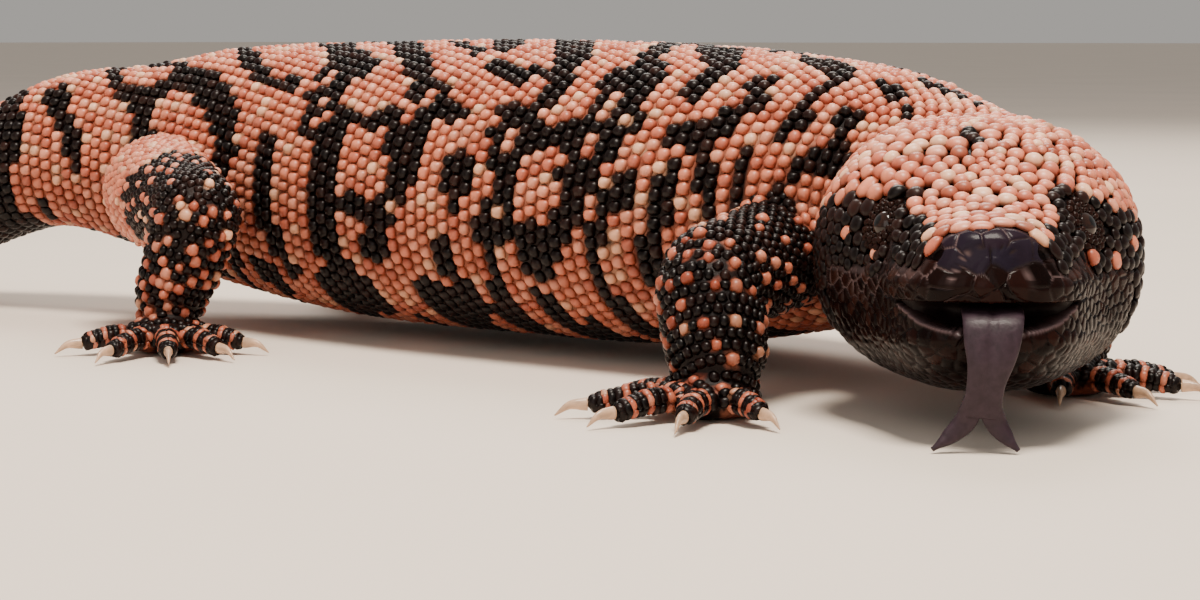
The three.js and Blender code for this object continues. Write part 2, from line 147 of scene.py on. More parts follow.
def bodySurface(station, angle, lift=0.0):
    # A rounded section across the spine: width and height go as powers of sine and cosine
    turn = np.radians(headingAt(station))
    top, low = topAt(station), lowAt(station)
    waist = low + body["waist"] * (top - low)
    above, below, tall = body["powers"]
    fromTip = np.maximum(0, 1 - (body["length"] - station) / body["tipRound"])
    rounding = np.sqrt(np.maximum(0, 1 - fromTip ** 2))
    across, up = np.sin(angle), np.cos(angle)
    wide = (halfWidthAt(station) * rounding + lift) * signedPower(across, np.where(up > 0, above, below))
    reach = np.where(up > 0, top - waist, waist - low)
    high = (reach * rounding + lift) * signedPower(up, tall)
    x = np.interp(station, stations, spineX) - np.sin(turn) * wide
    y = np.interp(station, stations, spineY) + np.cos(turn) * wide
    return np.stack([x, y, waist + high], -1)


head = {
    "length": 60.0,
    "halfWidth": [(0, 3), (1.2, 8), (4, 12), (9, 15), (17, 18), (25, 21.5), (34, 26.5), (43, 29),
                  (51, 28.4), (60, 25)],
    "top": [(0, 32), (1.2, 35), (4, 37), (12, 39), (24, 43.5), (36, 49), (47, 52), (60, 53)],
    "low": [(0, 22), (1.2, 17), (4, 12.5), (10, 9.5), (22, 7.5), (40, 7.5), (52, 10), (60, 14)],
    "upperLip": [(-6, 24.9), (6, 24.6), (12, 24.5), (34, 25.4)],
    "lowerLip": [(-6, 19.2), (0.5, 19.5), (3, 20.7), (6.5, 22.6), (10.5, 23.9), (34, 25.0)],
    "waist": 0.46,
    "powers": (0.78, 0.86),  # of the width and the height
    "snoutDome": 0.9,
    "lipSwell": 0.8,
    "lipSwells": (27.2, 17.2),  # heights
    "brow": (1.3, 22.0, 0.7),  # how far it stands out, how far back, how far round from the crown
    "mouthCorner": 34.0,
    "mouthDepth": (9.0, 3.0),  # at most, and per mm that the mouth gapes
    "lipRound": 1.1,
    "eye": (23.0, 17.2, 36.0),  # back from the snout, aside, height
    "eyeOut": (-0.45, 0.75, 0.45),
    "eyeRadius": 2.9,
    "eyeDepth": 1.3,
    "nostril": (3.6, 8.8, 32.4),
    "ear": (52.5, 29.0, 27.0),
    "eyeHollow": (1.5, 3.0, 6),  # depth, radius, steepness
    "nostrilHollow": (1.9, 1.5, 4),
    "earHollow": (2.2, 1.9, 3.9),  # depth, half length, half height
    "earSide": 15,  # the ear lies further aside than this
}
headWidthAt, headTopAt, headLowAt = (smoothThrough(head[k]) for k in ("halfWidth", "top", "low"))
headTurn = math.radians(body["heading"][0][1])
headAhead = np.array([math.cos(headTurn), math.sin(headTurn), 0.0])
headLeft = np.array([-math.sin(headTurn), math.cos(headTurn), 0.0])
upward = np.array([0.0, 0.0, 1.0])
occiput = np.array([*body["occiput"], 0.0])


def headPlace(back, left, height):
    # From head measures to the animal's frame
    back, left, height = (np.asarray(v, float)[..., None] for v in (back, left, height))
    return occiput + (head["length"] - back) * headAhead + left * headLeft + height * upward


def headMeasures(points):
    # The reverse: how far back, left and high a point lies
    away = points - occiput
    return head["length"] - away @ headAhead, away @ headLeft, points[..., 2]


def onSide(measures, side):
    # The place of an eye or a nostril on one side, from how far back, aside and high it lies
    back, aside, height = measures
    return headPlace(back, side * aside, height)


def eyeCentre(side):
    middle = onSide(head["eye"], side)
    outward = unit(onSide(np.add(head["eye"], head["eyeOut"]), side) - middle)
    return middle - head["eyeDepth"] * outward, outward


eyeLow, eyeHigh = (np.array(corner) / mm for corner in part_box("eye_left"))
frameShift = (eyeLow + eyeHigh) / 2 - eyeCentre(1)[0]
frameShift[2] = 0.0


def toFrame(points):
    return (np.asarray(points) + frameShift) * mm


makeCamera()
print("camera set")


# Mesh helpers
def gridNormals(points):
    # Cross product of the two neighbour differences of a grid that closes round its columns
    along = np.gradient(points, axis=0)
    around = (np.roll(points, -1, axis=1) - np.roll(points, 1, axis=1)) / 2
    normals = unit(np.cross(along, around))
    centre = points.mean(axis=1, keepdims=True)
    if np.sum(normals * (points - centre)) < 0:
        normals = -normals
    return normals


def tubeFaces(rows, around):
    # Quads between rows and a fan at each end, with the two end points last
    row, column = np.meshgrid(np.arange(rows - 1), np.arange(around), indexing="ij")
    following = (column + 1) % around
    quads = np.stack([row * around + column, row * around + following,
                      (row + 1) * around + following, (row + 1) * around + column], -1).reshape(-1, 4)
    ring = np.arange(around)
    nextRing = (ring + 1) % around
    last = (rows - 1) * around
    first = np.stack([np.full(around, rows * around), nextRing, ring], -1)
    end = np.stack([np.full(around, rows * around + 1), last + ring, last + nextRing], -1)
    return quads, np.concatenate([first, end])


def tubeParts(points):
    # Points and faces of a closed tube, turned to face out by the sign of its volume
    rows, around = points.shape[:2]
    quads, tris = tubeFaces(rows, around)
    flat = np.concatenate([points.reshape(-1, 3), points[0].mean(0)[None], points[-1].mean(0)[None]])
    split = np.concatenate([quads[:, [0, 1, 2]], quads[:, [0, 2, 3]], tris])
    a, b, c = (flat[split[:, k]] for k in range(3))
    if np.sum(a * np.cross(b, c)) < 0:
        quads, tris = quads[:, ::-1], tris[:, ::-1]
    return flat, quads, tris


def joined(parts):
    # Several closed shapes as one set of points and faces
    points, quads, tris, start = [], [], [], 0
    for p, q, t in parts:
        points.append(p)
        quads.append(q + start)
        tris.append(t + start)
        start += len(p)
    return np.concatenate(points), np.concatenate(quads), np.concatenate(tris)


def makePiece(name, points, quads, tris):
    mesh = bpy.data.meshes.new(name)
    corners = np.concatenate([quads.ravel(), tris.ravel()]).astype(np.int32)
    counts = np.concatenate([np.full(len(quads), 4), np.full(len(tris), 3)])
    mesh.vertices.add(len(points))
    mesh.vertices.foreach_set("co", toFrame(points).astype(np.float32).ravel())
    mesh.loops.add(len(corners))
    mesh.loops.foreach_set("vertex_index", corners)
    mesh.polygons.add(len(counts))
    mesh.polygons.foreach_set("loop_start", (np.cumsum(counts) - counts).astype(np.int32))
    mesh.update(calc_edges=True)
    mesh.validate()
    mesh.shade_smooth()
    piece = bpy.data.objects.new(name, mesh)
    bpy.context.collection.objects.link(piece)
    return piece


def meshVectors(piece, which):
    values = np.empty(len(piece.data.vertices) * 3, np.float32)
    piece.data.vertices.foreach_get(which, values)
    return values.reshape(-1, 3)


def meshPoints(piece):
    # Back from the shared frame to the animal's own
    return meshVectors(piece, "co") / mm - frameShift


def paint(piece, colours):
    tint = piece.data.color_attributes.new("tint", "FLOAT_COLOR", "POINT")
    rgba = np.concatenate([colours, np.ones((len(colours), 1))], 1).astype(np.float32)
    tint.data.foreach_set("color", rgba.ravel())


def bakeMap(piece, uv):
    layer = piece.data.uv_layers.new(name="OFBake")
    corner = np.empty(len(piece.data.loops), np.int32)
    piece.data.loops.foreach_get("vertex_index", corner)
    layer.data.foreach_set("uv", uv[corner].astype(np.float32).ravel())


def patchMap(corner, size, along, across):
    # Places in one patch of the bake map, from a share along it and one across
    return np.stack([corner[0] + size[0] * along, corner[1] + size[1] * across], -1)


def linear(red, green, blue):
    # sRGB 0 to 255 to the renderer's linear values
    c = np.array([red, green, blue]) / 255.0
    return np.where(c <= 0.04045, c / 12.92, ((c + 0.055) / 1.055) ** 2.4)


def blended(under, over, share):
    share = np.asarray(share)[..., None]
    return under * (1 - share) + over * share


# Shapes
def headGrid(back, share, angle):
    # Sections of the head. A share under 1 draws the first section in to close the snout
    top, low, width = headTopAt(back), headLowAt(back), headWidthAt(back)
    waist = low + head["waist"] * (top - low)
    wide, tall = head["powers"]
    across, up = np.sin(angle), np.cos(angle)
    height = waist + np.where(up > 0, top - waist, waist - low) * signedPower(up, tall) * share
    bulge = sum(bell(height - middle, 2) for middle in head["lipSwells"])
    swell = head["lipSwell"] * bulge * np.maximum(0, 1 - back / head["mouthCorner"])
    browOut, browBack, browRound = head["brow"]
    fromCrown = np.abs(np.arctan2(across, up))
    brow = browOut * bell(back - browBack, 7) * bell(fromCrown - browRound, 0.2)
    left = width * signedPower(across, wide) * share + (swell + brow) * across
    dome = head["snoutDome"] * (1 - share ** 2)
    return headPlace(back - swell - dome, left, height + brow * up)


def mouthShare(points):
    # 1 deep between the lips, 0 outside them, over a rounded edge. Then how far the mouth gapes
    # there, and the height over the lower lip
    back, left, height = headMeasures(points)
    upper, lower = knotsAt(head["upperLip"], back), knotsAt(head["lowerLip"], back)
    inside = np.minimum(upper - height, height - lower)
    share = smoothStep(ramp(inside, 0, head["lipRound"]))
    return np.where(back < head["mouthCorner"], share, 0), upper - lower, height - lower


def openMouth(points, normals):
    share, gape, _ = mouthShare(points)
    level = unit(normals * np.array([1.0, 1.0, 0.0]))
    most, slope = head["mouthDepth"]
    depth = np.minimum(most, slope * np.maximum(gape - 0.2, 0.1))
    return points - level * (depth * share)[..., None]


def dents(points, normals):
    # Sockets of the eyes, the nostrils and the ear cups, pushed in along the normals
    push = np.zeros(points.shape[:-1])
    back, left, height = headMeasures(points)
    earDepth, earLong, earTall = head["earHollow"]
    for side in (-1, 1):
        for what in ("eye", "nostril"):
            depth, radius, steepness = head[what + "Hollow"]
            away = np.linalg.norm(points - onSide(head[what], side), axis=-1)
            push += depth * np.exp(-(away / radius) ** steepness)
        away = ((back - head["ear"][0]) / earLong) ** 2 + ((height - head["ear"][2]) / earTall) ** 2
        push += earDepth * np.exp(-away ** 2) * (side * left > head["earSide"])
    return points - normals * push[..., None]


def catmull(points, count):
    # A smooth curve through a few points, at even parameter steps
    knots = np.asarray(points, float)
    ends = np.concatenate([[2 * knots[0] - knots[1]], knots, [2 * knots[-1] - knots[-2]]])
    t = np.linspace(0, len(knots) - 1, count)
    i = np.minimum(t.astype(int), len(knots) - 2)
    f = (t - i)[:, None]
    p0, p1, p2, p3 = ends[i], ends[i + 1], ends[i + 2], ends[i + 3]
    return 0.5 * (2 * p1 + (p2 - p0) * f + (2 * p0 - 5 * p1 + 4 * p2 - p3) * f ** 2
                  + (3 * p1 - p0 - 3 * p2 + p3) * f ** 3)


def sideOf(along):
    # A direction at right angles, level where that is possible
    return unit(np.cross(along, np.where(np.abs(along[:, 2:3]) > 0.95, headAhead, upward)))


def pathFrames(path):
    along = unit(np.gradient(path, axis=0))
    side = sideOf(along)
    return along, side, np.cross(side, along)


def widthsAlong(widths, length):
    # Half widths given at even steps, smoothed to every place along a length
    return smoothThrough([(i * length[-1] / (len(widths) - 1), w) for i, w in enumerate(widths)])(length)


def limbGrid(path, radii, rows, around, lift=0.0):
    # Circles carried along a path, drawn in by a quarter round at both ends
    curve = catmull(path, rows)
    length = lengthsAlong(curve)
    radius = widthsAlong(radii, length)
    first, last = (np.sqrt(1 - np.maximum(0, 1 - room / radius) ** 2)
                   for room in (length, length[-1] - length))
    size = np.maximum(radius * first * last + lift, 0.02)
    along, side, over = pathFrames(curve)
    angle = ringAngles(around)[:, None]
    circle = np.cos(angle) * over[:, None] + np.sin(angle) * side[:, None]
    return curve[:, None] + size[:, None, None] * circle


legs = {
    "fore_right": {"hip": (5, -17, 27), "knee": (12, -52, 23.5), "ankle": (19, -58, 9),
                   "radii": (11.5, 10.5, 8.8), "palm": (19, -60),
                   "toes": [(-22, 11), (-66, 14), (-102, 16), (-134, 16), (-170, 12)]},
    "fore_left": {"hip": (8, 20, 31), "knee": (27, 41, 25), "ankle": (49, 14, 8.5),
                  "radii": (12, 10, 8.2), "palm": (51, 9),
                  "toes": [(-62, 11), (-20, 14), (16, 16), (48, 15), (92, 12)]},
    "hind_right": {"hip": (-176, -20, 32), "knee": (-131, -48, 29), "ankle": (-137, -52, 9),
                   "radii": (14, 10, 7.6), "palm": (-134, -55),
                   "toes": [(22, 12), (-10, 15), (-40, 17), (-72, 16), (-116, 12)]},
    "hind_left": {"hip": (-176, 6, 32), "knee": (-158, 44, 28), "ankle": (-180, 51, 9),
                  "radii": (14, 10, 7.6), "palm": (-178, 54),
                  "toes": [(-10, 12), (22, 15), (52, 17), (84, 16), (128, 12)]},
}
toeRadii = (3, 2.7, 2.2)
palmMake = {"half": (9.5, 8.5, 5.4), "height": 3.4}


def limbLengths(leg):
    # Upper and lower length, each prolonged past its joints as the round ends need
    hip, knee, ankle = (np.array(leg[k], float) for k in ("hip", "knee", "ankle"))
    root, middle, end = leg["radii"]
    made = []
    for start, stop, radii in ((hip, knee, (root, 0.5 * (root + middle), middle)),
                               (knee, ankle, (middle, 0.52 * (middle + end), end))):
        along = unit(stop - start)
        ends = start - 0.7 * radii[0] * along, stop + 0.7 * radii[2] * along
        made.append(([ends[0], (start + stop) / 2, ends[1]], radii))
    return made


def toeDirection(leg, toe):
    turn = math.radians(leg["toes"][toe][0])
    return np.array([math.cos(turn), math.sin(turn), 0.0])


def besideToe(leg, toe, places):
    # Points in line with a toe, from their distance from the palm's middle and their height
    out = toeDirection(leg, toe)
    return [np.array([*leg["palm"], height]) + out * distance for distance, height in places]


def toePath(leg, toe):
    length = leg["toes"][toe][1]
    return besideToe(leg, toe, [(3, 3.6), (8 + length * 0.4, 3.9), (7 + length, 2.3)])


def unitBall(rows, around, opening):
    # Its poles lie along x, where the first and last rows leave a small opening
    polar, angle = np.linspace(opening, np.pi - opening, rows)[:, None], ringAngles(around)
    girth = np.sin(polar)
    return np.stack([np.cos(polar) + 0 * angle, girth * np.cos(angle), girth * np.sin(angle)], -1)


def palmGrid(leg, rows, around, lift):
    # An ellipsoid that lies along the middle toe
    out = toeDirection(leg, 2)
    centre = np.array([*leg["palm"], palmMake["height"]])
    axes = np.stack([out, np.cross(upward, out), upward])
    return centre + (unitBall(rows, around, 0.02) * np.add(palmMake["half"], lift)) @ axes


def onFloor(points, level=0.0):
    points[..., 2] = np.maximum(points[..., 2], level)
    return points


# Skin
skinMake = {
    "voxel": 1.15,
    "smoothing": 4,
    "bodyRows": 330,
    "bodyAround": 120,
    "headRows": 90,
    "headAround": 150,
    "limb": (70, 48),  # rows and around
    "palm": (28, 36, -0.5),  # rows, around and lift
    "toe": (40, 20, -0.45),
    "floor": 0.15,
}


def headRowsFor(count, frontShare=0.12):
    # Rows that start as shares of the first section and then step back along the head
    front = max(6, int(count * frontShare))
    share = np.concatenate([np.linspace(0.06, 1, front), np.ones(count - front)])
    t = np.linspace(0, 1, count - front + 1)[1:]
    back = np.concatenate([np.zeros(front), head["length"] * (0.35 * t ** 2 + 0.65 * t)])
    return back, share


def skinSurface():
    # All shapes of the flesh in one, fused by a fine remesh and relaxed a little
    depth = body["skinDepth"]
    station = np.linspace(0.5, body["length"] - 0.05, skinMake["bodyRows"])[:, None]
    back, share = (row[:, None] for row in headRowsFor(skinMake["headRows"]))
    plain = headGrid(back, share, ringAngles(skinMake["headAround"]))
    normals = gridNormals(plain)
    shapes = [bodySurface(station, ringAngles(skinMake["bodyAround"]), -depth),
              dents(openMouth(plain, normals), normals) - normals * depth]
    for leg in legs.values():
        shapes += [limbGrid(path, radii, *skinMake["limb"], -depth) for path, radii in limbLengths(leg)]
        shapes.append(palmGrid(leg, *skinMake["palm"]))
        shapes += [limbGrid(toePath(leg, toe), toeRadii, *skinMake["toe"]) for toe in range(5)]
    piece = makePiece("skin", *joined([tubeParts(onFloor(shape, skinMake["floor"])) for shape in shapes]))
    remesh = piece.modifiers.new("fuse", "REMESH")
    remesh.mode = "VOXEL"
    remesh.voxel_size = skinMake["voxel"] * mm
    relax = piece.modifiers.new("relax", "SMOOTH")
    relax.factor = 0.5
    relax.iterations = skinMake["smoothing"]
    finished = bpy.data.meshes.new_from_object(piece.evaluated_get(bpy.context.evaluated_depsgraph_get()))
    piece.modifiers.clear()
    piece.data = finished
    finished.shade_smooth()
    return piece


skin = skinSurface()
skinPoints = meshPoints(skin)
skinTree = BVHTree.FromObject(skin, bpy.context.evaluated_depsgraph_get())
print("skin", len(skin.data.vertices), "points")

# Markings
# Strokes on the right side: tone (1 black, 0 pink), width in mm, then places as (mm back from the
# occiput along the spine, degrees down from the spine). Later strokes lie over earlier ones
markings = [
    (1, 7, [(279, 36), (275, 55), (271, 70), (267, 85)]),
    (1, 5, [(266, 6), (261, 30), (255, 41)]),
    (1, 9, [(254, 41), (246, 54), (244, 68), (245, 78)]),
    (1, 5, [(253, 7), (242, 20), (237, 30)]),
    (1, 10, [(236, 36), (226, 42), (217, 54), (211, 65), (210, 76)]),
    (1, 5, [(252, 42), (228, 44)]),
    (1, 5, [(227, 4), (221, 15), (216, 24), (211, 32), (203, 41)]),
    (1, 4, [(210, 38), (190, 44)]),
    (1, 8, [(194, 73), (193, 90), (191, 110), (190, 135)]),
    (1, 7, [(201, 0), (190, 15), (181, 26), (172, 31)]),
    (1, 14, [(179, 33), (178, 55)]),
    (1, 11, [(177, 52), (170, 75), (170, 95), (169, 120)]),
    (1, 6, [(180, 1), (170, 13), (161, 24), (150, 35)]),
    (1, 10, [(153, 38), (150, 60)]),
    (1, 14, [(147, 47), (136, 52), (133, 56)]),
    (1, 13, [(146, 50), (144, 80), (150, 95), (152, 105)]),
    (0, 10, [(166, 44), (159, 48)]),
    (0, 12, [(159, 70), (155, 80)]),
    (1, 4, [(172, 59), (148, 59)]),
    (1, 4, [(172, 89), (150, 89)]),
    (0, 8, [(158, 10), (146, 30), (134, 40), (122, 53), (122, 62), (133, 67), (134, 80), (139, 92),
            (144, 104), (147, 118)]),
    (1, 3, [(160, 6), (141, 23)]),
    (1, 6, [(148, 1), (138, 15)]),
    (1, 8, [(128, 0), (121, 11), (115, 21), (110, 30), (107, 40), (108, 48)]),
    (1, 5, [(132, 31), (125, 36), (110, 37)]),
    (0, 9, [(115, 45), (115, 53)]),
    (1, 6, [(117, 54), (108, 60)]),
    (0, 9, [(101, 28), (100, 52)]),
    (1, 8.5, [(126.5, 76), (126.5, 81)]),
    (1, 10, [(113, 72), (113, 90)]),
    (1, 16, [(88, 36), (85, 56)]),
    (1, 6, [(100, 0), (95, 11), (90, 24), (87, 32)]),
    (1, 12, [(87, 62), (90, 78), (94, 88), (98, 98), (101, 106)]),
    (0, 12, [(102, 78), (101, 82)]),
    (1, 6, [(117, 63), (84, 62)]),
    (1, 5, [(118, 96), (92, 96)]),
    (1, 7, [(130, 103), (130, 122)]),
    (1, 5, [(115, 101), (115, 120)]),
    (1, 6, [(100, 101), (100, 112)]),
    (1, 8, [(88, 0), (78, 9), (70, 22), (68, 38)]),
    (1, 7, [(77, 78), (77.5, 83)]),
    (1, 5, [(79, 82), (83, 95), (84.5, 105), (85, 120)]),
    (1, 6, [(66, 58), (64, 70), (66, 86), (70, 104), (70, 116)]),
    (1, 7, [(66, 59), (60, 60)]),
    (0, 6, [(59, 80), (59, 98)]),
    (1, 9, [(56, 56), (56, 72)]),
    (1, 3, [(54, 76), (53.5, 90)]),
    (1, 7, [(55, 30), (52, 43)]),
    (1, 7, [(58, 0), (47, 11), (40, 18)]),
    (0, 4, [(50.5, 74), (51.5, 86)]),
    (1, 4, [(48, 64), (47.5, 90)]),
    (1, 4, [(38.5, 77), (37, 86)]),
    (1, 5, [(41, 27), (38, 45), (39, 58)]),
    (1, 7.5, [(27, 41), (26, 45)]),
    (1, 9.5, [(24, 60), (20, 68)]),
    (1, 6, [(33, 70), (27, 66)]),
    (1, 5, [(31, 11), (25, 15)]),
    (1, 4, [(20, 19), (17, 22)]),
    (0, 6, [(39, 90), (39, 120)]),
    (1, 6, [(33, 92), (33, 120)]),
]
pinkBeads = [(180, 38), (183, 43), (177, 52), (173, 56), (177, 60), (143, 48), (154, 45), (152, 51),
             (147, 56), (138, 59), (148, 89), (111, 61), (111, 67), (89, 63), (89, 67), (115, 78),
             (115, 83), (112, 89), (87, 46), (88, 52), (83, 55), (65, 66), (55, 63), (54, 68)]
pinkBeadReach = 1.9
millimetresPerDegree = 0.5
pinkGrowth = 0.3  # mm that pink gains on black along every edge
bellyFrom = 121  # degrees down from the spine
tailBands = {"from": 284, "first": 288, "step": 25.0, "black": 0.52}
wavePhases = seeded.uniform(0, 2 * np.pi, (6, 2))


def waves(x, y, scale):
    # A smooth field between about -1 and 1, from six waves of seeded directions
    total = 0.0
    for i, (turn, phase) in enumerate(wavePhases):
        pitch = scale * (0.7 + 0.16 * i)
        total = total + np.sin((x * np.cos(turn) + y * np.sin(turn)) / pitch * 2 * np.pi + phase)
    return total / 2.6


def strokeDistance(s, t, places):
    # Shortest distance in mm to a chain of straight lengths
    nearest = np.full(s.shape, 1e9)
    for (s0, t0), (s1, t1) in zip(places[:-1], places[1:]):
        ds, dt = s1 - s0, (t1 - t0) * millimetresPerDegree
        ps, pt = s - s0, (t - t0) * millimetresPerDegree
        share = np.clip((ps * ds + pt * dt) / (ds * ds + dt * dt + 1e-9), 0, 1)
        nearest = np.minimum(nearest, np.hypot(ps - share * ds, pt - share * dt))
    return nearest


def bodyTone(station, angle):
    # 1 where a bead is black. The left side repeats the right side's strokes, bent and moved back
    degrees = np.degrees(angle)
    right = degrees < 0
    down = np.abs(degrees)
    s = np.where(right, station, station - 9 + 8 * np.sin(station / 19.0))
    t = np.where(right, down, down + 7 * np.sin(station / 13.0))
    tone = np.zeros(station.shape)
    for kind, width, places in markings:
        edge = width / 2 + (-pinkGrowth if kind else pinkGrowth)
        tone = np.where(strokeDistance(s, t, places) < edge, kind, tone)
    for places in pinkBeads:
        tone = np.where(strokeDistance(s, t, [places, places]) < pinkBeadReach, 0, tone)
    belly = waves(station, down * 0.16 * np.where(right, 1, -1), 16) > 0.05  # uneven stripes across
    tone = np.where(down > bellyFrom, belly, tone)
    ring = (station - tailBands["first"]) / tailBands["step"] + 0.18 * waves(station, down * 0.35, 30)
    return np.where(station > tailBands["from"], ring % 1.0 < tailBands["black"], tone)


pinkShades = np.array([linear(222, 133, 102), linear(234, 156, 126), linear(200, 110, 84),
                       linear(242, 186, 150)])
blackShades = np.array([linear(22, 9, 7), linear(31, 14, 11), linear(15, 6, 5), linear(42, 22, 17)])
shadeOdds = (0.45, 0.25, 0.2, 0.1)


def dimmed(colours, share):
    # A share under 1 darkens the colours and makes them redder: painted shade on lower and shaded parts, and
    # a few browner beads on the crown
    return colours * np.asarray(share)[..., None] ** np.array([0.85, 1.15, 1.25])


def beadColours(tone):
    # Each bead gets its own shade of pink or black
    count = len(tone)
    pick = seeded.choice(len(shadeOdds), count, p=shadeOdds)
    glow = seeded.uniform(0.88, 1.1, (count, 1))
    return np.where(tone[:, None] > 0.5, blackShades[pick], pinkShades[pick]) * glow


# Beads
beadShape = {
    "around": 10,
    "rings": [(0.40, 0.93), (0.76, 0.62), (1.0, 0.0)],  # share of the radius, share of the height
    "foot": -0.55,
    "sink": 0.12,  # into the skin
    "squareness": 0.82,  # 1 is round, less is squarer
    "lobes": (0.05, 0.04),  # threefold and fourfold
    "patch": 0.0015,
    "shades": (1.0, 0.82, 0.42, 1.06, 0.3),  # painted shade: share of the colour kept at the three rings, the top and the foot; darkest at the foot, a little lighter on top
    # powers of the painted shade for red, green and blue; deeper shade turns redder
    "redden": (0.9, 1.25, 1.4),
}


def chosen(beads, keep):
    return {k: v[keep] for k, v in beads.items()}


def beadPiece(name, beads):
    # Every bead is a dome with its skirt: three rings, the top, and a foot under the skin. It is
    # stretched to its own half sizes, in its own frame
    n, rings = beadShape["around"], beadShape["rings"]
    quads, tris = tubeFaces(len(rings), n)
    place, up, high, spot = (beads[k][:, None] for k in ("place", "up", "high", "uv"))
    angle = ringAngles(n)
    cosine, sine = (signedPower(wave(angle), beadShape["squareness"]) for wave in (np.cos, np.sin))
    three, four = beadShape["lobes"]
    lobe = (1 + three * np.cos(3 * angle + beads["seed"][:, :1])
            + four * np.cos(4 * angle + beads["seed"][:, 1:]))
    points, maps = [], []
    for share, rise in rings:
        ahead = share * lobe * cosine * beads["long"][:, None]
        aside = share * lobe * sine * beads["wide"][:, None]
        points.append(place + ahead[..., None] * beads["along"][:, None]
                      + aside[..., None] * beads["across"][:, None] + rise * high[..., None] * up)
        maps.append(spot + beadShape["patch"] * share * np.stack([cosine, sine], -1))
    points = np.concatenate([*points, place + high[..., None] * up, place + beadShape["foot"] * up], 1)
    start = (np.arange(len(place)) * points.shape[1])[:, None, None]
    points = onFloor(points.reshape(-1, 3))
    piece = makePiece(name, points, (quads + start).reshape(-1, 4), (tris + start).reshape(-1, 3))
    shades = np.repeat(beadShape["shades"], [n] * len(rings) + [1, 1])[:, None]
    paintedShadeTint = shades ** np.array(beadShape["redden"])  # painted shade: low shares lose green and blue first, so the foot is darkest and reddest
    paint(piece, (beads["colour"][:, None] * paintedShadeTint).reshape(-1, 3))
    bakeMap(piece, np.concatenate([*maps, spot, spot], 1).reshape(-1, 2))
    return piece


def seeds(count):
    # Two phases a bead, for the lobes of its outline
    return seeded.uniform(0, 2 * np.pi, (count, 2))


def beadFamily(place, up, along, sizes, seed, colour, uv):
    # One row a bead; the sizes are half its length, half its width and its height
    return {"place": place, "up": up, "along": np.broadcast_to(along, up.shape),
            "across": np.cross(up, along), "long": sizes[0], "wide": sizes[1], "high": sizes[2],
            "seed": seed, "colour": colour, "uv": uv}





def settle(beads, reach=1.8):
    # Beads lie on the skin; those that another part of the animal covers are dropped
    found = [skinTree.find_nearest(Vector(p)) for p in toFrame(beads["place"])]
    near = np.array([tuple(f[0]) for f in found]) / mm - frameShift
    normal = np.array([tuple(f[1]) for f in found])
    gap = np.linalg.norm(beads["place"] - near, axis=-1)
    keep = (gap < reach) & (np.sum(normal * beads["up"], -1) > 0.35)
    beads = chosen(beads, keep)
    up = unit(0.45 * normal[keep] + 0.55 * beads["up"])
    beads.update(up=up, place=near[keep] - beadShape["sink"] * up, along=levelled(beads["along"], up))
    beads["across"] = np.cross(up, beads["along"])
    return beads


def thinned(beads, others, share=0.74):
    # Drop beads whose middles crowd those of other families
    keep = np.ones(len(beads["place"]), bool)
    for other in others:
        for start in range(0, len(keep), 500):
            part = slice(start, start + 500)
            away = np.linalg.norm(beads["place"][part, None] - other["place"][None], axis=-1)
            room = share * (beads["wide"][part, None] + other["wide"][None])
            keep[part] &= ~(away < room).any(1)
    return chosen(beads, keep)


bodyBeads = {
    "rowStep": 3.45,
    "tailStep": 3.3,
    "tailFrom": 262,
    "pitchBack": 2.65,
    "pitchFlank": 3.05,
    "long": 1.68,
    "wideBack": 1.31,
    "wideFlank": 1.5,
    "height": 1.5,
    "first": 2.0,
    "sweepSteps": 361,
    "mostAcross": 70,
    "stretch": 1.45,  # the longest that a bead gets on the outside of a bend
    "scatter": 0.12,
    "tailSize": [(250, 1), (300, 0.96), (380, 0.86)],
    "dimming": [(0, 1.1), (45, 1.04), (75, 0.9), (100, 0.7), (125, 0.58)],  # degrees down, share of light: painted shade, a little lighter on the back and darker low on the flank
}


def bodyBeadRows():
    # Rows across the spine. In each, beads stand at the same arc lengths from the spine, and
    # every second row is moved by half a bead
    how, most = bodyBeads, np.arange(bodyBeads["mostAcross"])
    trunkRows = np.arange(how["first"], how["tailFrom"], how["rowStep"])
    tailRows = np.arange(trunkRows[-1] + how["tailStep"], body["length"] - 3, how["tailStep"])
    arcs = np.concatenate([[0], np.cumsum(np.interp(most, [0, 36], [how["pitchBack"], how["pitchFlank"]]))])
    sweep = np.linspace(0, np.pi, how["sweepSteps"])
    found = []
    for number, station in enumerate(np.concatenate([trunkRows, tailRows])):
        for side in (-1, 1):
            arc = lengthsAlong(bodySurface(station, side * sweep))
            places = np.interp(most + 0.5 * (number % 2), np.arange(len(arcs)), arcs)
            places = places[(places < arc[-1] - 0.8) & ((places > 0) | (side > 0))]
            angles = side * np.interp(places, arc, sweep)
            found.append(np.stack([np.full(len(angles), station), angles]))
    station, angle = np.concatenate(found, 1)
    station = station + seeded.normal(0, how["scatter"], station.shape)
    place, ahead = bodySurface(station, angle), bodySurface(station - 1, angle)
    along = unit(ahead - place)
    up = unit(np.cross(along, unit(bodySurface(station, angle + 0.02) - place)))
    outward = place - bodySurface(station, angle, -5.0)
    up = np.where(np.sum(up * outward, -1, keepdims=True) < 0, -up, up)
    stretch = np.minimum(np.linalg.norm(ahead - place, axis=-1), how["stretch"])
    count, down = len(station), np.abs(angle)
    vary = seeded.normal(1, 0.06, (3, count)) * knotsAt(how["tailSize"], station)
    beads = beadFamily(
        place, up, along,
        (how["long"] * stretch * vary[0],
         np.interp(down, [0, 1.2], [how["wideBack"], how["wideFlank"]]) * vary[1],
         how["height"] * np.interp(down, [0, 1.6, 2.4], [1, 1, 0.6]) * vary[2]),
        seeds(count),
        # painted shade, darker the further down the flank
        dimmed(beadColours(bodyTone(station, angle)), knotsAt(how["dimming"], np.degrees(down))),
        patchMap((0.02, 0.72), (0.96, 0.26), station / body["length"], angle / np.pi))
    return {**beads, "station": station}


trunk = settle(bodyBeadRows())
print("body beads", len(trunk["place"]))
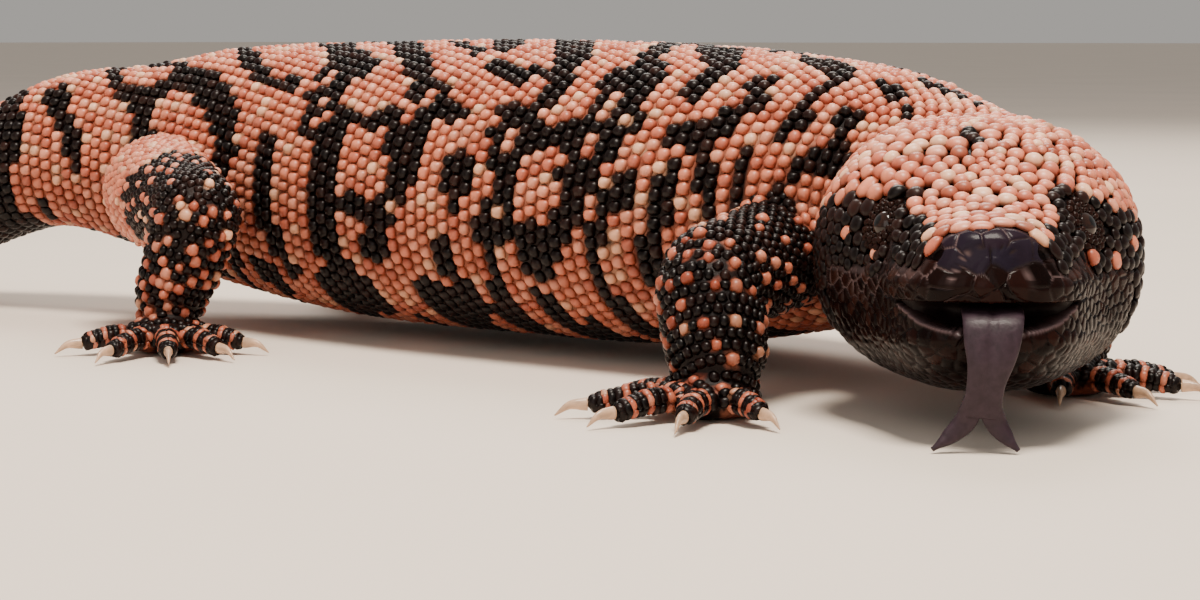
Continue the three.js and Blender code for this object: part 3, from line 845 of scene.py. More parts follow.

# Painted shade: the forelegs darker than the hind legs, the lower lengths darker than the upper, the feet
# darker by a fixed share
legBeads = {"fine": 120, "around": 180, "step": 2.3, "pitch": 2.15, "height": 1.05, "long": 1.22,
            "wide": 1.12, "loneSizes": (0.95, 1.3), "plainSize": 0.95, "patch": 0.24,
            "dimming": {"fore": (0.72, 0.42), "hind": (0.95, 0.6)}, "footDimming": 0.55}
palmBeadMake = {"fine": 60, "around": 120, "rows": (5, 56, 6), "columns": (0, 60, 5),
                "sizes": (1.3, 1.15, 0.9)}
toeBeadMake = {"fine": 100, "around": 72, "bands": (34, 95, 7), "sizes": (0.88, 1.2, 0.62),
               "overTop": (-26, -14, -5, 5, 14, 26)}
# Share of pink at the start and end of the upper and lower length, then the room between lone pink
# beads with the passes that fill it
pinkShareOf = {"fore_right": ((0.1, 0.02), (0.02, 0.04)), "fore_left": ((0.3, 0.1), (0.1, 0.1)),
               "hind_right": ((0.82, 0.03), (0.12, 0.34)), "hind_left": ((0.7, 0.1), (0.1, 0.3))}
loneSpacing = {"fore_right": ((3.7, 1), (3.3, 1)), "fore_left": ((4.2, 1), (3.6, 1)),
               "hind_right": ((3.6, 1), (2.7, 2)), "hind_left": ((4.0, 1), (3.0, 2))}


def scattered(places, spacing, passes):
    # Picks spread at random, none nearer to another than the spacing; more passes fill the room up
    rank = seeded.uniform(0, 1, len(places))
    square = np.sum(places ** 2, 1)
    near = square[:, None] + square[None] - 2 * places @ places.T < spacing ** 2
    picked = np.zeros(len(places), bool)
    for _ in range(passes):
        free = ~(near & picked[None]).any(1)
        highest = np.where(near & free[None], rank[None], -1.0).max(1)
        picked |= free & (rank >= highest)
    return picked


def limbBeads(name, number, part, path, radii):
    # Rings of beads along a limb length, every second ring moved by half a bead
    fine, around = legBeads["fine"], legBeads["around"]
    grid = limbGrid(path, radii, fine, around)
    normals = gridNormals(grid)
    curve = grid.mean(1)
    length = lengthsAlong(curve)
    rings = np.arange(1.5, length[-1] - 1.0, legBeads["step"])
    girth = np.linalg.norm(np.diff(grid, axis=1, append=grid[:, :1]), axis=-1).sum(1)
    rows, columns = [], []
    for i, row in enumerate(np.interp(rings, length, np.arange(fine)).astype(int)):
        count = max(6, int(round(girth[row] / legBeads["pitch"])))
        columns.append(((np.arange(count) + 0.5 * (i % 2)) / count * around).astype(int) % around)
        rows.append(np.full(count, row))
    row, column = np.concatenate(rows), np.concatenate(columns)
    place, up = grid[row, column], normals[row, column]
    count, share = len(row), row / fine
    pinkShare = np.interp(share, [0.35, 0.62], pinkShareOf[name][part])
    field = waves(share * 40 + 50 * part, column * 0.5 + 30 * number, 17)
    tone = (field > np.interp(pinkShare, [0, 1], [-2.4, 2.4])).astype(float)
    tone = np.where(scattered(place, *loneSpacing[name][part]), 0, tone)
    vary = seeded.normal(1, 0.07, (3, count))
    vary = vary * np.where(tone < 0.5, seeded.uniform(*legBeads["loneSizes"], count), legBeads["plainSize"])
    return beadFamily(
        place, up, unit(np.gradient(curve, axis=0))[row],
        (legBeads["long"] * vary[0], legBeads["wide"] * vary[1], legBeads["height"] * vary[2]),
        seeds(count), dimmed(beadColours(tone), legBeads["dimming"][name.split("_")[0]][part]),
        patchMap((0.02 + legBeads["patch"] * number + 0.11 * part, 0.2), (0.10, 0.22),
                 share, column / around))


def footBeads(leg, toe, grid, row, column, how, varying, toneOf, uv):
    # Beads at chosen rows and columns of a palm's or toe's grid
    place, up = grid[row, column], gridNormals(grid)[row, column]
    count = len(row)
    vary = seeded.normal(1, varying, (3, count)) * np.array(how["sizes"])[:, None]
    seed = seeds(count)
    # Painted shade darkens the palms and toes
    return beadFamily(place, up, toeDirection(leg, toe), vary, seed,
                      dimmed(beadColours(toneOf(count)), legBeads["footDimming"]), uv)


def palmBeads(leg, number):
    how = palmBeadMake
    row, turn = np.meshgrid(np.arange(*how["rows"]), np.arange(*how["columns"]), indexing="ij")
    row, turn = row.ravel(), (turn + row // 6 % 2 * 2).ravel()
    grid = palmGrid(leg, how["fine"], how["around"], 0.0)
    return footBeads(leg, 2, grid, row, turn, how, 0.07,
                     lambda count: (seeded.uniform(0, 1, count) > 0.25).astype(float),
                     patchMap((0.02 + legBeads["patch"] * number, 0.12), (0.04, 0.12),
                              row / how["fine"], turn / how["around"]))


def toeBeads(leg, number, toe):
    # Bands across each toe, six scales to a band, with every third band pale
    how = toeBeadMake
    bands = np.arange(*how["bands"])
    row, column = np.meshgrid(bands, how["overTop"], indexing="ij")
    band = np.repeat(np.arange(len(bands)), len(how["overTop"]))
    grid = limbGrid(toePath(leg, toe), toeRadii, how["fine"], how["around"])
    row, column = row.ravel(), column.ravel() % how["around"]
    return footBeads(leg, toe, grid, row, column, how, 0.05, lambda count: (band % 3 > 0).astype(float),
                     patchMap((0.07 + legBeads["patch"] * number + 0.036 * toe, 0.02), (0.03, 0.08),
                              column / how["around"], row / how["fine"]))


def merged(families):
    return {k: np.concatenate([f[k] for f in families]) for k in families[-1]}


legFamilies = {}
for number, (name, leg) in enumerate(legs.items()):
    family = []
    for part, (path, radii) in enumerate(limbLengths(leg)):
        beads = settle(limbBeads(name, number, part, path, radii), 2.6)
        family.append(thinned(beads, [trunk, *family], 0.64))
    palm = thinned(settle(palmBeads(leg, number), 1.2), family)
    family.append(palm)
    for toe in range(5):
        family.append(thinned(settle(toeBeads(leg, number, toe), 1.0), [palm], 0.6))
    legFamilies[name] = merged(family)
print("leg beads", sum(len(f["place"]) for f in legFamilies.values()))

# Face: smooth plates as a relief on a fine grid, domed beads over crown and cheeks
face = {
    "rows": 222,
    "around": 420,
    "samplesStep": 4,
    "plateSize": 3.9,
    "jawSize": 2.6,
    "crownSize": 2.95,
    "relief": 0.42,
    "seamDepth": 0.3,
    "seamWidth": 0.34,
    "beadHeight": 1.45,
    # lone pink beads on the black cheeks: back, left, height
    "lonePink": [(32, -24.3, 34.5), (22.3, -18.8, 32.6), (18.2, 17.2, 31.6), (36, 26.8, 33), (29, 23, 30)],
    "darkSpot": (40.0, -1.5, 3.4),  # a dark cluster on the crown: back, left, radius
    "eyeRoom": 5.3,  # no beads nearer to the eye's middle
    "earRoom": (2.6, 4.8),  # half length and half height of the place without beads
    # reach of the painted shade in the nostrils
    "nostrilDark": 1.4,
    "brownShare": 0.22,
    "duskyShare": 0.08,
    "beadRoom": 0.56,  # half size of a crown bead, as a share of the room between middles
    "spreading": 14,
    "frontShare": 0.07,
}


def faceAngles():
    # Columns crowd where the lips are
    fine = np.linspace(0, 2 * np.pi, 8001)
    off = np.abs(np.degrees(np.where(fine > np.pi, 2 * np.pi - fine, fine)))
    spacing = np.linalg.norm(np.diff(headGrid(24.0, 1.0, fine), axis=0), axis=1)
    crowd = 1 + 1.6 * bell(off - 97, 15)
    total = np.concatenate([[0], np.cumsum(spacing * (crowd[1:] + crowd[:-1]) / 2)])
    return np.interp((np.arange(face["around"]) + 0.5) / face["around"] * total[-1], total, fine)


def labialSeeds():
    # One row of scales along each lip, from the snout back to the corner of the mouth
    seeds = []
    for lip, offset in (("upperLip", 2.2), ("lowerLip", -2.2)):
        for side in (-1, 1):
            backs = np.concatenate([[0.4], np.arange(3.0, 34.0, 3.9)])
            heights = knotsAt(head[lip], backs) + offset
            widths = headWidthAt(backs) * 0.97
            widths[0] = 2.4
            seeds.append(headPlace(backs, side * widths, heights))
    return np.concatenate(seeds)


def nearestOf(points, seeds):
    # The two nearest seeds of every point, from the squares of the distances
    first = np.empty(len(points), int)
    second = np.empty(len(points), int)
    square = np.sum(seeds ** 2, 1)
    for start in range(0, len(points), 4000):
        part = points[start:start + 4000]
        away = square[None] - 2 * part @ seeds.T
        two = np.argpartition(away, 1, axis=1)[:, :2]
        near = np.take_along_axis(away, two, 1)
        order = np.argsort(near, 1)
        two = np.take_along_axis(two, order, 1)
        first[start:start + 4000], second[start:start + 4000] = two[:, 0], two[:, 1]
    return first, second


def spreadSeeds(samples, weight, count, fixed):
    # Seeds spread evenly by moving each to the middle of its own cell, a few times over
    start = seeded.choice(len(samples), count, replace=False, p=weight / weight.sum())
    seeds = samples[start]
    for _ in range(face["spreading"]):
        owner = nearestOf(samples, np.concatenate([fixed, seeds]))[0] - len(fixed)
        mine = owner >= 0
        total = np.bincount(owner[mine], weight[mine], count)
        sums = [np.bincount(owner[mine], weight[mine] * axis[mine], count) for axis in samples.T]
        moved = np.stack(sums, -1)
        held = total > 0
        seeds[held] = moved[held] / total[held, None]
    return np.concatenate([fixed, seeds])


def beaded(back, left, height):
    # 1 on the beaded crown, temples and cheeks, 0 on the smooth plates of snout, lips and jaw
    crown = ramp(height, headTopAt(back) - 10, 4) * ramp(back, 3, 2)
    cheek = ramp(back, 16, 3) * ramp(height, 27, 2)
    rear = ramp(back, 34, 4) * ramp(height, 14, 4)
    return np.maximum(np.maximum(crown, cheek), rear)


def headTone(back, left, height):
    # 1 for black scales. The pink zone starts narrow on the snout, widens behind the eyes over the
    # temples and stops at the height of the eyes; the jowls are half pink
    edge = np.minimum(12.3, 5.5 + 0.55 * back) + 1.4 * np.maximum(0, back - 24)
    edge = edge + 1.4 * waves(back, height, 14)
    floor = np.where(back < 24, headTopAt(back) - 6.5, 38.6 - 0.045 * left + 1.6 * waves(back, left, 12))
    zone = (np.abs(left) < edge) & (height > floor) & (back > 3.5)
    jowl = (back > 44) & (waves(back, left + height, 19) > 0.1) & (height > 20)
    spotBack, spotLeft, spotRadius = face["darkSpot"]
    spot = np.hypot(back - spotBack, left - spotLeft) < spotRadius
    return np.where((zone | jowl) & ~spot, 0.0, 1.0)


def faceCells():
    back, share = (row[:, None] for row in headRowsFor(face["rows"], face["frontShare"]))
    grid = headGrid(back, share, faceAngles())
    step = face["samplesStep"]
    samples = grid[::step, ::2].reshape(-1, 3)
    away, aside, high = headMeasures(samples)
    size = np.interp(beaded(away, aside, high), [0, 1], [face["plateSize"], face["crownSize"]])
    size = np.where((high < 24) & (away > 3), face["jawSize"], size)
    long, wide = (np.linalg.norm(np.gradient(grid, axis=axis), axis=-1) for axis in (0, 1))
    weight = (long * wide)[::step, ::2].reshape(-1) * step * 2 / (0.87 * size ** 2)
    return grid, spreadSeeds(samples, weight, int(weight.sum()), labialSeeds())


def nearEyes(points, reach, what="eye"):
    return np.any([np.linalg.norm(points - onSide(head[what], side), axis=-1) < reach for side in (-1, 1)], 0)


def cellMeasures(points, cells):
    # The cell that each point lies in, its distance from the cell's middle, and from its edge
    first, second = nearestOf(points, cells)
    toFirst = np.linalg.norm(points - cells[first], axis=1)
    toSecond = np.linalg.norm(points - cells[second], axis=1)
    between = np.linalg.norm(cells[first] - cells[second], axis=1)
    return first, toFirst, (toSecond ** 2 - toFirst ** 2) / (2 * between)


def cellColours(cells):
    back, left, height = headMeasures(cells)
    colours = beadColours(np.ones(len(cells)))
    brown = (seeded.uniform(0, 1, len(cells)) < face["brownShare"]) & (height > 27) & (back > 3)
    colours = blended(colours, linear(58, 34, 27), 0.6 * brown)
    # Painted shade: plates low on the jaw darker and redder
    colours = dimmed(colours, np.interp(height, [14, 24], [0.6, 1]))
    # Painted sheen: a bluish reflection painted over the top of the snout
    paintedSnoutSheen = 0.35 * ramp(back, 9, -4) * (height > 30) * (np.abs(left) < 9)
    return blended(colours, linear(46, 42, 60), paintedSnoutSheen)


def facePiece(grid, cells):
    # Plates and small scales in relief, with dark seams between them, the mouth, eyes and nostrils
    normals = gridNormals(grid)
    flat = grid.reshape(-1, 3)
    owner, away, edge = cellMeasures(flat, cells)
    back, left, height = headMeasures(flat)
    plate = smoothStep(ramp(edge, 0, face["seamWidth"]))
    dome = np.sqrt(np.clip(1 - (away / (1.02 * np.maximum(away + edge, 0.5))) ** 2, 0, 1))
    under = beaded(back, left, height)
    jaw = ramp(height, 22, -3) * (back > 1)
    flatness = 0.6 - 0.55 * jaw  # plates on the snout, small domed scales on the jaw
    rise = face["relief"] * (flatness * plate + (1 - flatness) * dome) * (1 - 0.8 * under)
    rise = rise - face["seamDepth"] * (1 + under - 0.4 * jaw)
    nape = (head["length"] - 0.6 - back) / 2.0  # under 0 where the scales sink into the neck
    rise = rise * np.clip(nape, -0.6, 1) - np.where(nape < 0, 0.6, 0)
    inMouth, gape, overLower = mouthShare(flat)
    lipRim = bell(overLower + 0.1, 0.28) * ramp(gape, 0, 2) * (back < 9)
    rise = rise * (1 - ramp(inMouth, 0, 1 / 1.5))
    grown = grid + normals * rise.reshape(grid.shape[:2])[..., None]
    colours = cellColours(cells)
    overLip = height - knotsAt(head["upperLip"], back)
    lipTop = bell(overLip - 4.2, 0.9) * (back < 13)
    uneven = np.clip(0.4 + 0.45 * waves(back, left, 9) - left / 45 + 0.4 * lipTop, 0.06, 1)
    uneven = uneven * np.where((overLip < 3.6) & (back < 13), 0.25, 1)
    seam = blended(linear(9, 4, 4), linear(112, 92, 92), ramp(height, 22, 3) * uneven * (1 - under))
    painted = blended(seam, colours[owner], ramp(edge, 0.03, 0.13) * (1 - under))
    # Painted shade: the inside of the mouth near black
    painted = blended(painted, linear(24, 9, 8), inMouth)
    painted = blended(painted, linear(96, 78, 80), lipRim)
    # Painted shade: the eye sockets and the nostril hollows near black
    dark = nearEyes(flat, face["eyeRoom"]) | nearEyes(flat, face["nostrilDark"], "nostril")
    painted[dark] = linear(14, 7, 6)
    piece = makePiece("faceScales", *tubeParts(dents(openMouth(grown, normals), normals)))
    paint(piece, np.concatenate([painted, [painted[0], painted[-1]]]))
    rows, around = grid.shape[:2]
    row, column = np.indices((rows, around))
    uv = patchMap((0.02, 0.02), (0.3, 0.14), row / rows, column / around).reshape(-1, 2)
    bakeMap(piece, np.concatenate([uv, uv[:1], uv[-1:]]))
    return piece


def headBeads(grid, cells):
    # Domed beads on the cells of crown, temples and cheeks, wide and low on top of the snout
    back, left, height = headMeasures(cells)
    earLong, earTall = face["earRoom"]
    fromEar = ((back - head["ear"][0]) / earLong) ** 2 + ((height - head["ear"][2]) / earTall) ** 2
    keep = (beaded(back, left, height) > 0.5) & ~nearEyes(cells, face["eyeRoom"])
    keep &= (fromEar > 1) | (np.abs(left) < head["earSide"])
    apart = np.linalg.norm(cells[:, None] - cells[None], axis=-1)
    room = np.sort(apart, axis=1)[:, 1:6].mean(1)[keep]
    cells, back, left, height = cells[keep], back[keep], left[keep], height[keep]
    flat, normals = grid.reshape(-1, 3), gridNormals(grid).reshape(-1, 3)
    spot = nearestOf(cells, flat)[0]
    up = normals[spot]
    count = len(cells)
    vary = seeded.normal(1, 0.07, (3, count))
    snout = ramp(back, 20, -8) * (np.abs(left) < 14)
    tone = headTone(back, left, height)
    tone[nearestOf(np.array([headPlace(*place) for place in face["lonePink"]]), cells)[0]] = 0
    dusky = np.where(seeded.uniform(0, 1, count) < face["duskyShare"], 0.5, 1)  # a few browner beads
    cheekLow = 1 - 0.4 * ramp(np.abs(left), 17, 6)
    # Painted shade: beads low on the head darker, those high on the crown a little lighter; the dusky ones
    # are browner at random
    return beadFamily(
        flat[spot] - 0.35 * up, up, levelled(-headAhead, up),
        (face["beadRoom"] * room * (1 - 0.12 * snout) * vary[0],
         face["beadRoom"] * room * (1 + 0.14 * snout) * vary[1],
         face["beadHeight"] * (1 - 0.35 * snout) * cheekLow * vary[2] * np.clip(room / 2.95, 0.7, 1.1)),
        seeds(count), dimmed(beadColours(tone), np.interp(height, [20, 40], [0.7, 1.05]) * dusky),
        patchMap((0.36, 0.02), (0.3, 0.14), back / head["length"], 0.5 + left / 64))


# Materials
finishes = {  # roughness and shine, each for the darkest and the palest tones, then coat, grain and bump
    "beadEnamel": ((0.36, 0.4), (0.16, 0.5), 0.05, 1400, 0.12),
    "faceEnamel": ((0.26, 0.4), (0.05, 0.1), 0.05, 1100, 0.14),
    "bareSkin": ((0.5, 0.62), (0.15, 0.15), 0.0, 1900, 0.5),
    "eyeGloss": ((0.1, 0.14), (0.1, 0.1), 0.7, 2600, 0.0),
}


def newFinish(name):
    # A material, and a way to add nodes whose links are given as the socket that feeds each input
    material = bpy.data.materials.new(name)
    material.use_nodes = True
    nodes, links = material.node_tree.nodes, material.node_tree.links

    def add(kind, constants=(), **fed):
        node = nodes.new("ShaderNode" + kind)
        for socket, value in dict(constants).items():
            node.inputs[socket].default_value = value
        for socket, source in fed.items():
            links.new(source, node.inputs[socket])
        return node

    return material, add, links.new, nodes["Principled BSDF"].inputs


def addBump(add, link, shader, height, strength):
    bump = add("Bump", {"Strength": strength, "Distance": 0.0002}, Height=height)
    link(bump.outputs["Normal"], shader["Normal"])


def scaleFinish(name):
    # Bead colour from the mesh, mottled finely, glossier where it is dark
    roughness, specular, coat, grain, bump = finishes[name]
    material, add, link, shader = newFinish(name)
    tint = add("Attribute")
    tint.attribute_name = "tint"
    place = add("TexCoord").outputs["Object"]
    mottle = add("TexNoise", {"Scale": grain * 0.4, "Detail": 3.0}, Vector=place)
    spread = add("MapRange", {"To Min": 0.72, "To Max": 1.24}, Value=mottle.outputs["Fac"])
    shade = add("VectorMath")
    shade.operation = "SCALE"
    link(tint.outputs["Color"], shade.inputs[0])
    link(spread.outputs["Result"], shade.inputs["Scale"])
    link(shade.outputs["Vector"], shader["Base Color"])
    bright = add("RGBToBW", Color=tint.outputs["Color"])
    for socket, (dark, pale) in (("Roughness", roughness), ("Specular IOR Level", specular)):
        byTone = add("MapRange", {"From Min": 0.02, "From Max": 0.25, "To Min": dark, "To Max": pale},
                     Value=bright.outputs["Val"])
        link(byTone.outputs["Result"], shader[socket])
    shader["Coat Weight"].default_value = coat
    shader["Coat Roughness"].default_value = roughness[0] * 0.6
    fine = add("TexNoise", {"Scale": grain, "Detail": 4.0}, Vector=place)
    addBump(add, link, shader, fine.outputs["Fac"], bump)
    return material


def plainFinish(name, colour, roughness, grain, bump, coat=0.0, vary=0.25, specular=0.5):
    # A mottled colour with a fine bump, for lids, tongue, claws and floor
    material, add, link, shader = newFinish(name)
    mottle = add("TexNoise", {"Scale": grain}, Vector=add("TexCoord").outputs["Object"]).outputs["Fac"]
    tones = add("ValToRGB", Fac=mottle)
    for element, share, position in zip(tones.color_ramp.elements, (1 - vary, 1 + vary), (0.3, 0.7)):
        element.color = (*(colour * share), 1)
        element.position = position
    link(tones.outputs["Color"], shader["Base Color"])
    for socket, value in (("Roughness", roughness), ("Specular IOR Level", specular), ("Coat Weight", coat)):
        shader[socket].default_value = value
    addBump(add, link, shader, mottle, bump)
    return material


beadEnamel, faceEnamel, bareSkin = (scaleFinish(name) for name in ("beadEnamel", "faceEnamel", "bareSkin"))


def dress(piece, material, slotName, *nodes):
    piece.data.materials.clear()
    piece.data.materials.append(material)
    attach(piece, "root")
    if nodes:
        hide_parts(*nodes)


faceGrid, cells = faceCells()
dress(facePiece(faceGrid, cells), faceEnamel, "face_skin")
crown = headBeads(faceGrid, cells)
trunk = thinned(trunk, [crown], 0.6)
print("face", len(cells), "cells,", len(crown["place"]), "beads")

fillMake = {"reachShare": 1.15, "reachMore": 0.42, "cell": 1.3, "above": 8.0, "spacing": 2.0, "passes": 3,
            "size": 1.1, "high": 0.9}


def bareSkinBeads(families):
    # Small beads in their neighbours' colours wherever the skin of trunk and legs would lie bare
    near = nearestOf(skinPoints, families["place"])[0]
    gap = np.linalg.norm(skinPoints - families["place"][near], axis=1)
    reach = (families["long"] + families["wide"])[near] / 2 * fillMake["reachShare"] + fillMake["reachMore"]
    behind = headMeasures(skinPoints)[0] > head["length"]
    bare = np.flatnonzero((gap > reach) & behind & (skinPoints[:, 2] > fillMake["above"]))
    cells = np.floor(skinPoints[bare] / fillMake["cell"]).astype(int)
    bare = bare[np.unique(cells, axis=0, return_index=True)[1]]  # one candidate a cell
    picked = bare[scattered(skinPoints[bare], fillMake["spacing"], fillMake["passes"])]
    up, place = meshVectors(skin, "normal")[picked].astype(float), skinPoints[picked]
    count = len(place)
    vary = seeded.normal(1, 0.08, (3, count))
    turn = np.arctan2(place[:, 1], place[:, 2] - 35) / np.pi
    return near, beadFamily(
        place - beadShape["sink"] * up, up, sideOf(up),
        (fillMake["size"] * vary[0], fillMake["size"] * vary[1], fillMake["high"] * vary[2]), seeds(count),
        families["colour"][near[picked]] * seeded.uniform(0.8, 1, (count, 1)),
        patchMap((0.5, 0.5), (0.002, 0.48), place[:, 0], turn))


every = merged([trunk, *legFamilies.values()])
nearBead, folds = bareSkinBeads(every)
print("beads in folds", len(folds["place"]))
inShoulders = trunk["station"] < 112
inTail = trunk["station"] > 236


def titled(name):
    return "".join(word.capitalize() for word in name.split("_"))


coats = {
    "beadsShoulders": (chosen(trunk, inShoulders), "skin"),
    "beadsFlanks": (chosen(trunk, ~inShoulders & ~inTail), "skin"),
    "beadsTail": (chosen(trunk, inTail), "skin"),
    "beadsCrown": (crown, "face_skin"),
    "beadsFolds": (folds, "leg_skin"),
    **{"beads" + titled(name): (family, "leg_skin") for name, family in legFamilies.items()},
}
for name, (beads, slotName) in coats.items():
    dress(beadPiece(name, beads), beadEnamel, slotName)
print("coat pieces", len(coats))


def skinColours():
    # Each skin point takes the tone of the bead over it, dulled
    under = blended(every["colour"][nearBead], linear(20, 12, 11), 0.55)
    back, left, height = headMeasures(skinPoints)
    inHead = (back < head["length"] - 2) & (back > -8) & (np.abs(left) < 32)
    return np.where(inHead[:, None], linear(22, 13, 13), under)


paint(skin, skinColours())
flesh = ["neck", "torso", "tail_base", "tail_end", "head", "lower_jaw"]
flesh += [f"{name}_{part}" for name in legs for part in ("upper", "lower", "foot")]
dress(skin, bareSkin, "skin", *flesh)
print("skin painted")

# Eyes, lids, tongue and claws
eyeMake = {
    "rows": 60,
    "around": 80,
    "lidRows": 96,
    "lidAround": 24,
    "pupil": 0.36,  # angles from the eye's axis
    "iris": 0.86,
    "lidAway": 3.4,  # the lid's middle ring from the eye's axis
    "lidOut": 1.2,
    "lidWide": 1.25,
    "lidThick": 0.62,
    "lower": 0.86,  # an opening wider than tall
    # rings of granules: away from the axis, out along it, how many, half size
    "granules": [(2.9, 1.6, 14, 0.66), (3.95, 1.5, 16, 0.8), (5.05, 0.9, 18, 0.96)],
}





def ringTube(curve, wide, thick, around, over):
    # A closed ring: ellipses carried round a closed curve
    along = unit(np.roll(curve, -1, 0) - np.roll(curve, 1, 0))
    side = unit(np.cross(along, over))
    angle = ringAngles(around)[:, None]
    points = curve[:, None] + wide * np.cos(angle) * side[:, None] + thick * np.sin(angle) * over
    row, column = np.indices((len(curve), around))
    nextRow, nextColumn = (row + 1) % len(curve), (column + 1) % around
    quads = np.stack([row * around + column, row * around + nextColumn,
                      nextRow * around + nextColumn, nextRow * around + column], -1).reshape(-1, 4)
    flat = points.reshape(-1, 3)
    a, b, c, d = (flat[quads[:, k]] for k in range(4))
    volume = np.sum(a * np.cross(b, c)) + np.sum(a * np.cross(c, d))
    return flat, quads if volume > 0 else quads[:, ::-1], np.empty((0, 3), int)


def eyePiece(name, centre, outward):
    # A ball with pupil, iris and a dark white, told apart by the angle from its axis
    ball = centre + head["eyeRadius"] * unitBall(eyeMake["rows"], eyeMake["around"], 0.03)
    eye = makePiece(name, *tubeParts(ball))
    turned = np.arccos(np.clip(unit(meshPoints(eye) - centre) @ outward, -1, 1))[:, None]
    iris = linear(40, 20, 11) * (1 - 0.5 * ramp(turned, eyeMake["pupil"], 0.5))
    white = np.where(turned < eyeMake["iris"], iris, linear(16, 8, 6))
    paint(eye, np.where(turned < eyeMake["pupil"], linear(4, 2, 2), white))
    return eye


eyeGloss = scaleFinish("eyeGloss")
lidSkin = plainFinish("lidSkin", linear(30, 16, 13), 0.4, 1500, 0.3, 0.0, 0.25, 0.2)
for side, sideName in ((1, "Left"), (-1, "Right")):
    centre, outward = eyeCentre(side)
    dress(eyePiece("eyeball" + sideName, centre, outward), eyeGloss, "eye", "eye_" + sideName.lower())
    lengthwise = levelled(-headAhead, outward)
    tall = np.cross(lengthwise, outward)
    tall = eyeMake["lower"] * np.sign(tall[2]) * tall
    angle = ringAngles(eyeMake["lidRows"])[:, None]
    curve = centre + eyeMake["lidAway"] * (np.cos(angle) * lengthwise + np.sin(angle) * tall)
    lids = ringTube(curve + eyeMake["lidOut"] * outward, eyeMake["lidWide"], eyeMake["lidThick"],
                    eyeMake["lidAround"], outward)
    dress(makePiece("lids" + sideName, *lids), lidSkin, "face_skin")
    granules = []
    for away, out, count, size in eyeMake["granules"]:
        angle = (ringAngles(count) + seeded.uniform(-0.05, 0.05, count))[:, None]
        ringWay = np.cos(angle) * lengthwise + np.sin(angle) * tall
        up = unit(0.35 * ringWay + outward)
        vary = seeded.normal(1, 0.08, (2, count))
        granules.append(beadFamily(
            centre + away * ringWay + out * outward, up, levelled(np.cross(outward, unit(ringWay)), up),
            (size * vary[0], 0.95 * size * vary[1], np.full(count, 1.1 * size)), seeds(count),
            blended(beadColours(np.ones(count)), linear(46, 27, 22), 0.4),
            patchMap((0.36 + 0.02 * away, 0.5 + 0.1 * side), (0.002, 0), np.arange(count), np.zeros(count))))
    dress(beadPiece("lidBeads" + sideName, merged(granules)), faceEnamel, "face_skin")

tongueMake = {
    "ribbon": [(20, 0.5, 22.6), (12, 0.5, 22.9), (4, 0.5, 22.9), (-1.6, 0.4, 21.4), (-3.4, 0, 16),
               (-3, -0.9, 10.5), (-1.8, -1.3, 6)],
    "ribbonHalf": (4.6, 5, 5.1, 5.1, 4.6, 3.2, 3.2),
    # each point lies aside of the fork's middle line
    "tine": [(-2.4, 1.2, 9), (-1.6, 2.4, 5.4), (-1.8, 4.8, 2.6), (-2.6, 7, 0.7)],
    "forkLeft": (-1.3, -1.5, -1.9, -2.3),
    "tineHalf": (1.8, 1.9, 1.4, 0.4),
    "halfThick": 0.8,
}


def tongueGrid(route, halves, rows, around):
    # A flat ribbon with rounded edges and a groove along its upper face
    curve = catmull([headPlace(*place) for place in route], rows)
    along = unit(np.gradient(curve, axis=0))
    through = unit(np.cross(along, headLeft))
    level = np.cross(through, along)
    half = widthsAlong(halves, lengthsAlong(curve))[:, None]
    angle = ringAngles(around)
    wide = half * np.cos(angle)
    thick = np.minimum(tongueMake["halfThick"], half) * signedPower(np.sin(angle), 0.7)
    groove = -0.28 * bell(wide, 0.7) * np.sign(np.sin(angle)) * ramp(half, 1.6, 1)
    return curve[:, None] + wide[..., None] * level[:, None] + (thick + groove)[..., None] * through[:, None]


tongueParts = [tongueGrid(tongueMake["ribbon"], tongueMake["ribbonHalf"], 90, 40)]
for side in (-1, 1):
    route = [(back, side * left + middle, height)
             for (back, left, height), middle in zip(tongueMake["tine"], tongueMake["forkLeft"])]
    tongueParts.append(tongueGrid(route, tongueMake["tineHalf"], 50, 28))
tongue = makePiece("tongueRibbon", *joined([tubeParts(onFloor(part)) for part in tongueParts]))
tongueSkin = plainFinish("tongueSkin", linear(46, 32, 41), 0.5, 900, 0.5, 0.03, 0.25, 0.25)
dress(tongue, tongueSkin, "tongue", "tongue")

clawHorn = plainFinish("clawHorn", linear(196, 160, 130), 0.35, 500, 0.2, 0.2)
clawMake = {"rows": 24, "around": 16, "radius": 1.2, "places": [(-0.6, 2.7), (2.6, 2.5), (5.3, 0.7)]}


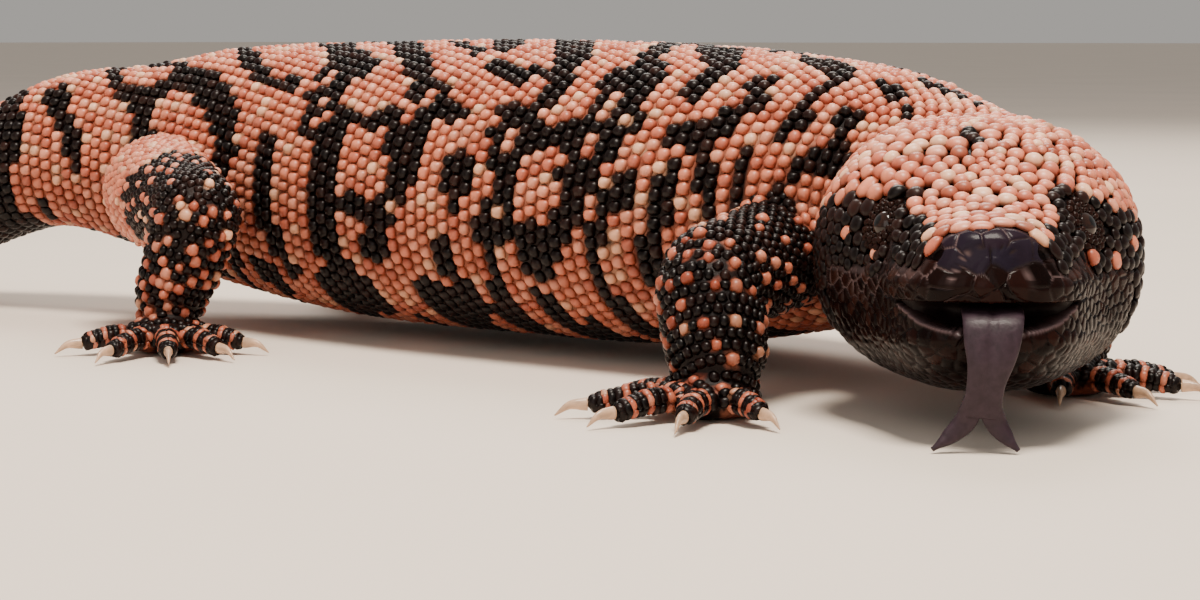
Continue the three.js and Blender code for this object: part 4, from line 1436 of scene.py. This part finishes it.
def clawGrid(leg, toe):
    # A cone that bends down to its point, a little flattened at the sides
    start, rows = 7 + leg["toes"][toe][1], clawMake["rows"]
    curve = catmull(besideToe(leg, toe, [(start + d, height) for d, height in clawMake["places"]]), rows)
    radius = clawMake["radius"] * (1 - 0.9 * np.linspace(0, 1, rows) ** 1.3)[:, None, None]
    along, side, over = pathFrames(curve)
    angle = ringAngles(clawMake["around"])[:, None]
    return curve[:, None] + radius * (0.8 * np.cos(angle) * side[:, None] + np.sin(angle) * over[:, None])


for name, leg in legs.items():
    parts = [tubeParts(onFloor(clawGrid(leg, toe))) for toe in range(5)]
    claws = makePiece("claws" + titled(name), *joined(parts))
    dress(claws, clawHorn, "claw", *[f"{name}_claw_{toe + 1}" for toe in range(5)])
print("eyes, tongue and claws made")

# Floor and light
studio = {
    "floorHalf": 25.0,
    "floorColour": linear(236, 222, 208),
    "worldColour": (0.9, 0.86, 0.81),
    "worldStrength": 0.46,
    "lamps": [("key", (0.32, -0.2, 1.15), 24.0, 0.4, (1.0, 0.9, 0.78)),  # place, power, size, colour
              ("fill", (0.5, -1.2, 0.6), 4.0, 1.0, (1.0, 0.93, 0.86)),
              ("rim", (-0.5, 0.8, 0.9), 11.0, 0.7, (1.0, 0.94, 0.86))],
}


def makeStage():
    half = studio["floorHalf"]
    mesh = bpy.data.meshes.new("floor")
    corners = [(-half, -half, 0), (half, -half, 0), (half, half, 0), (-half, half, 0)]
    mesh.from_pydata(corners, [], [(0, 1, 2, 3)])
    floor = bpy.data.objects.new("floor", mesh)
    bpy.context.collection.objects.link(floor)
    paper = plainFinish("palePaper", studio["floorColour"], 0.8, 6, 0.0, 0.0, 0.02)
    mesh.materials.append(paper)
    for name, place, power, size, colour in studio["lamps"]:
        data = bpy.data.lights.new(name, "AREA")
        data.energy = power
        data.size = size
        data.color = colour
        lamp = bpy.data.objects.new(name, data)
        lamp.location = place
        lamp.rotation_euler = (-Vector(place)).to_track_quat("-Z", "Y").to_euler()
        bpy.context.collection.objects.link(lamp)
    world = bpy.data.worlds.new("studio")
    world.use_nodes = True
    backdrop = world.node_tree.nodes["Background"].inputs
    backdrop["Color"].default_value = (*studio["worldColour"], 1)
    backdrop["Strength"].default_value = studio["worldStrength"]
    bpy.context.scene.world = world


makeStage()
print("stage set")
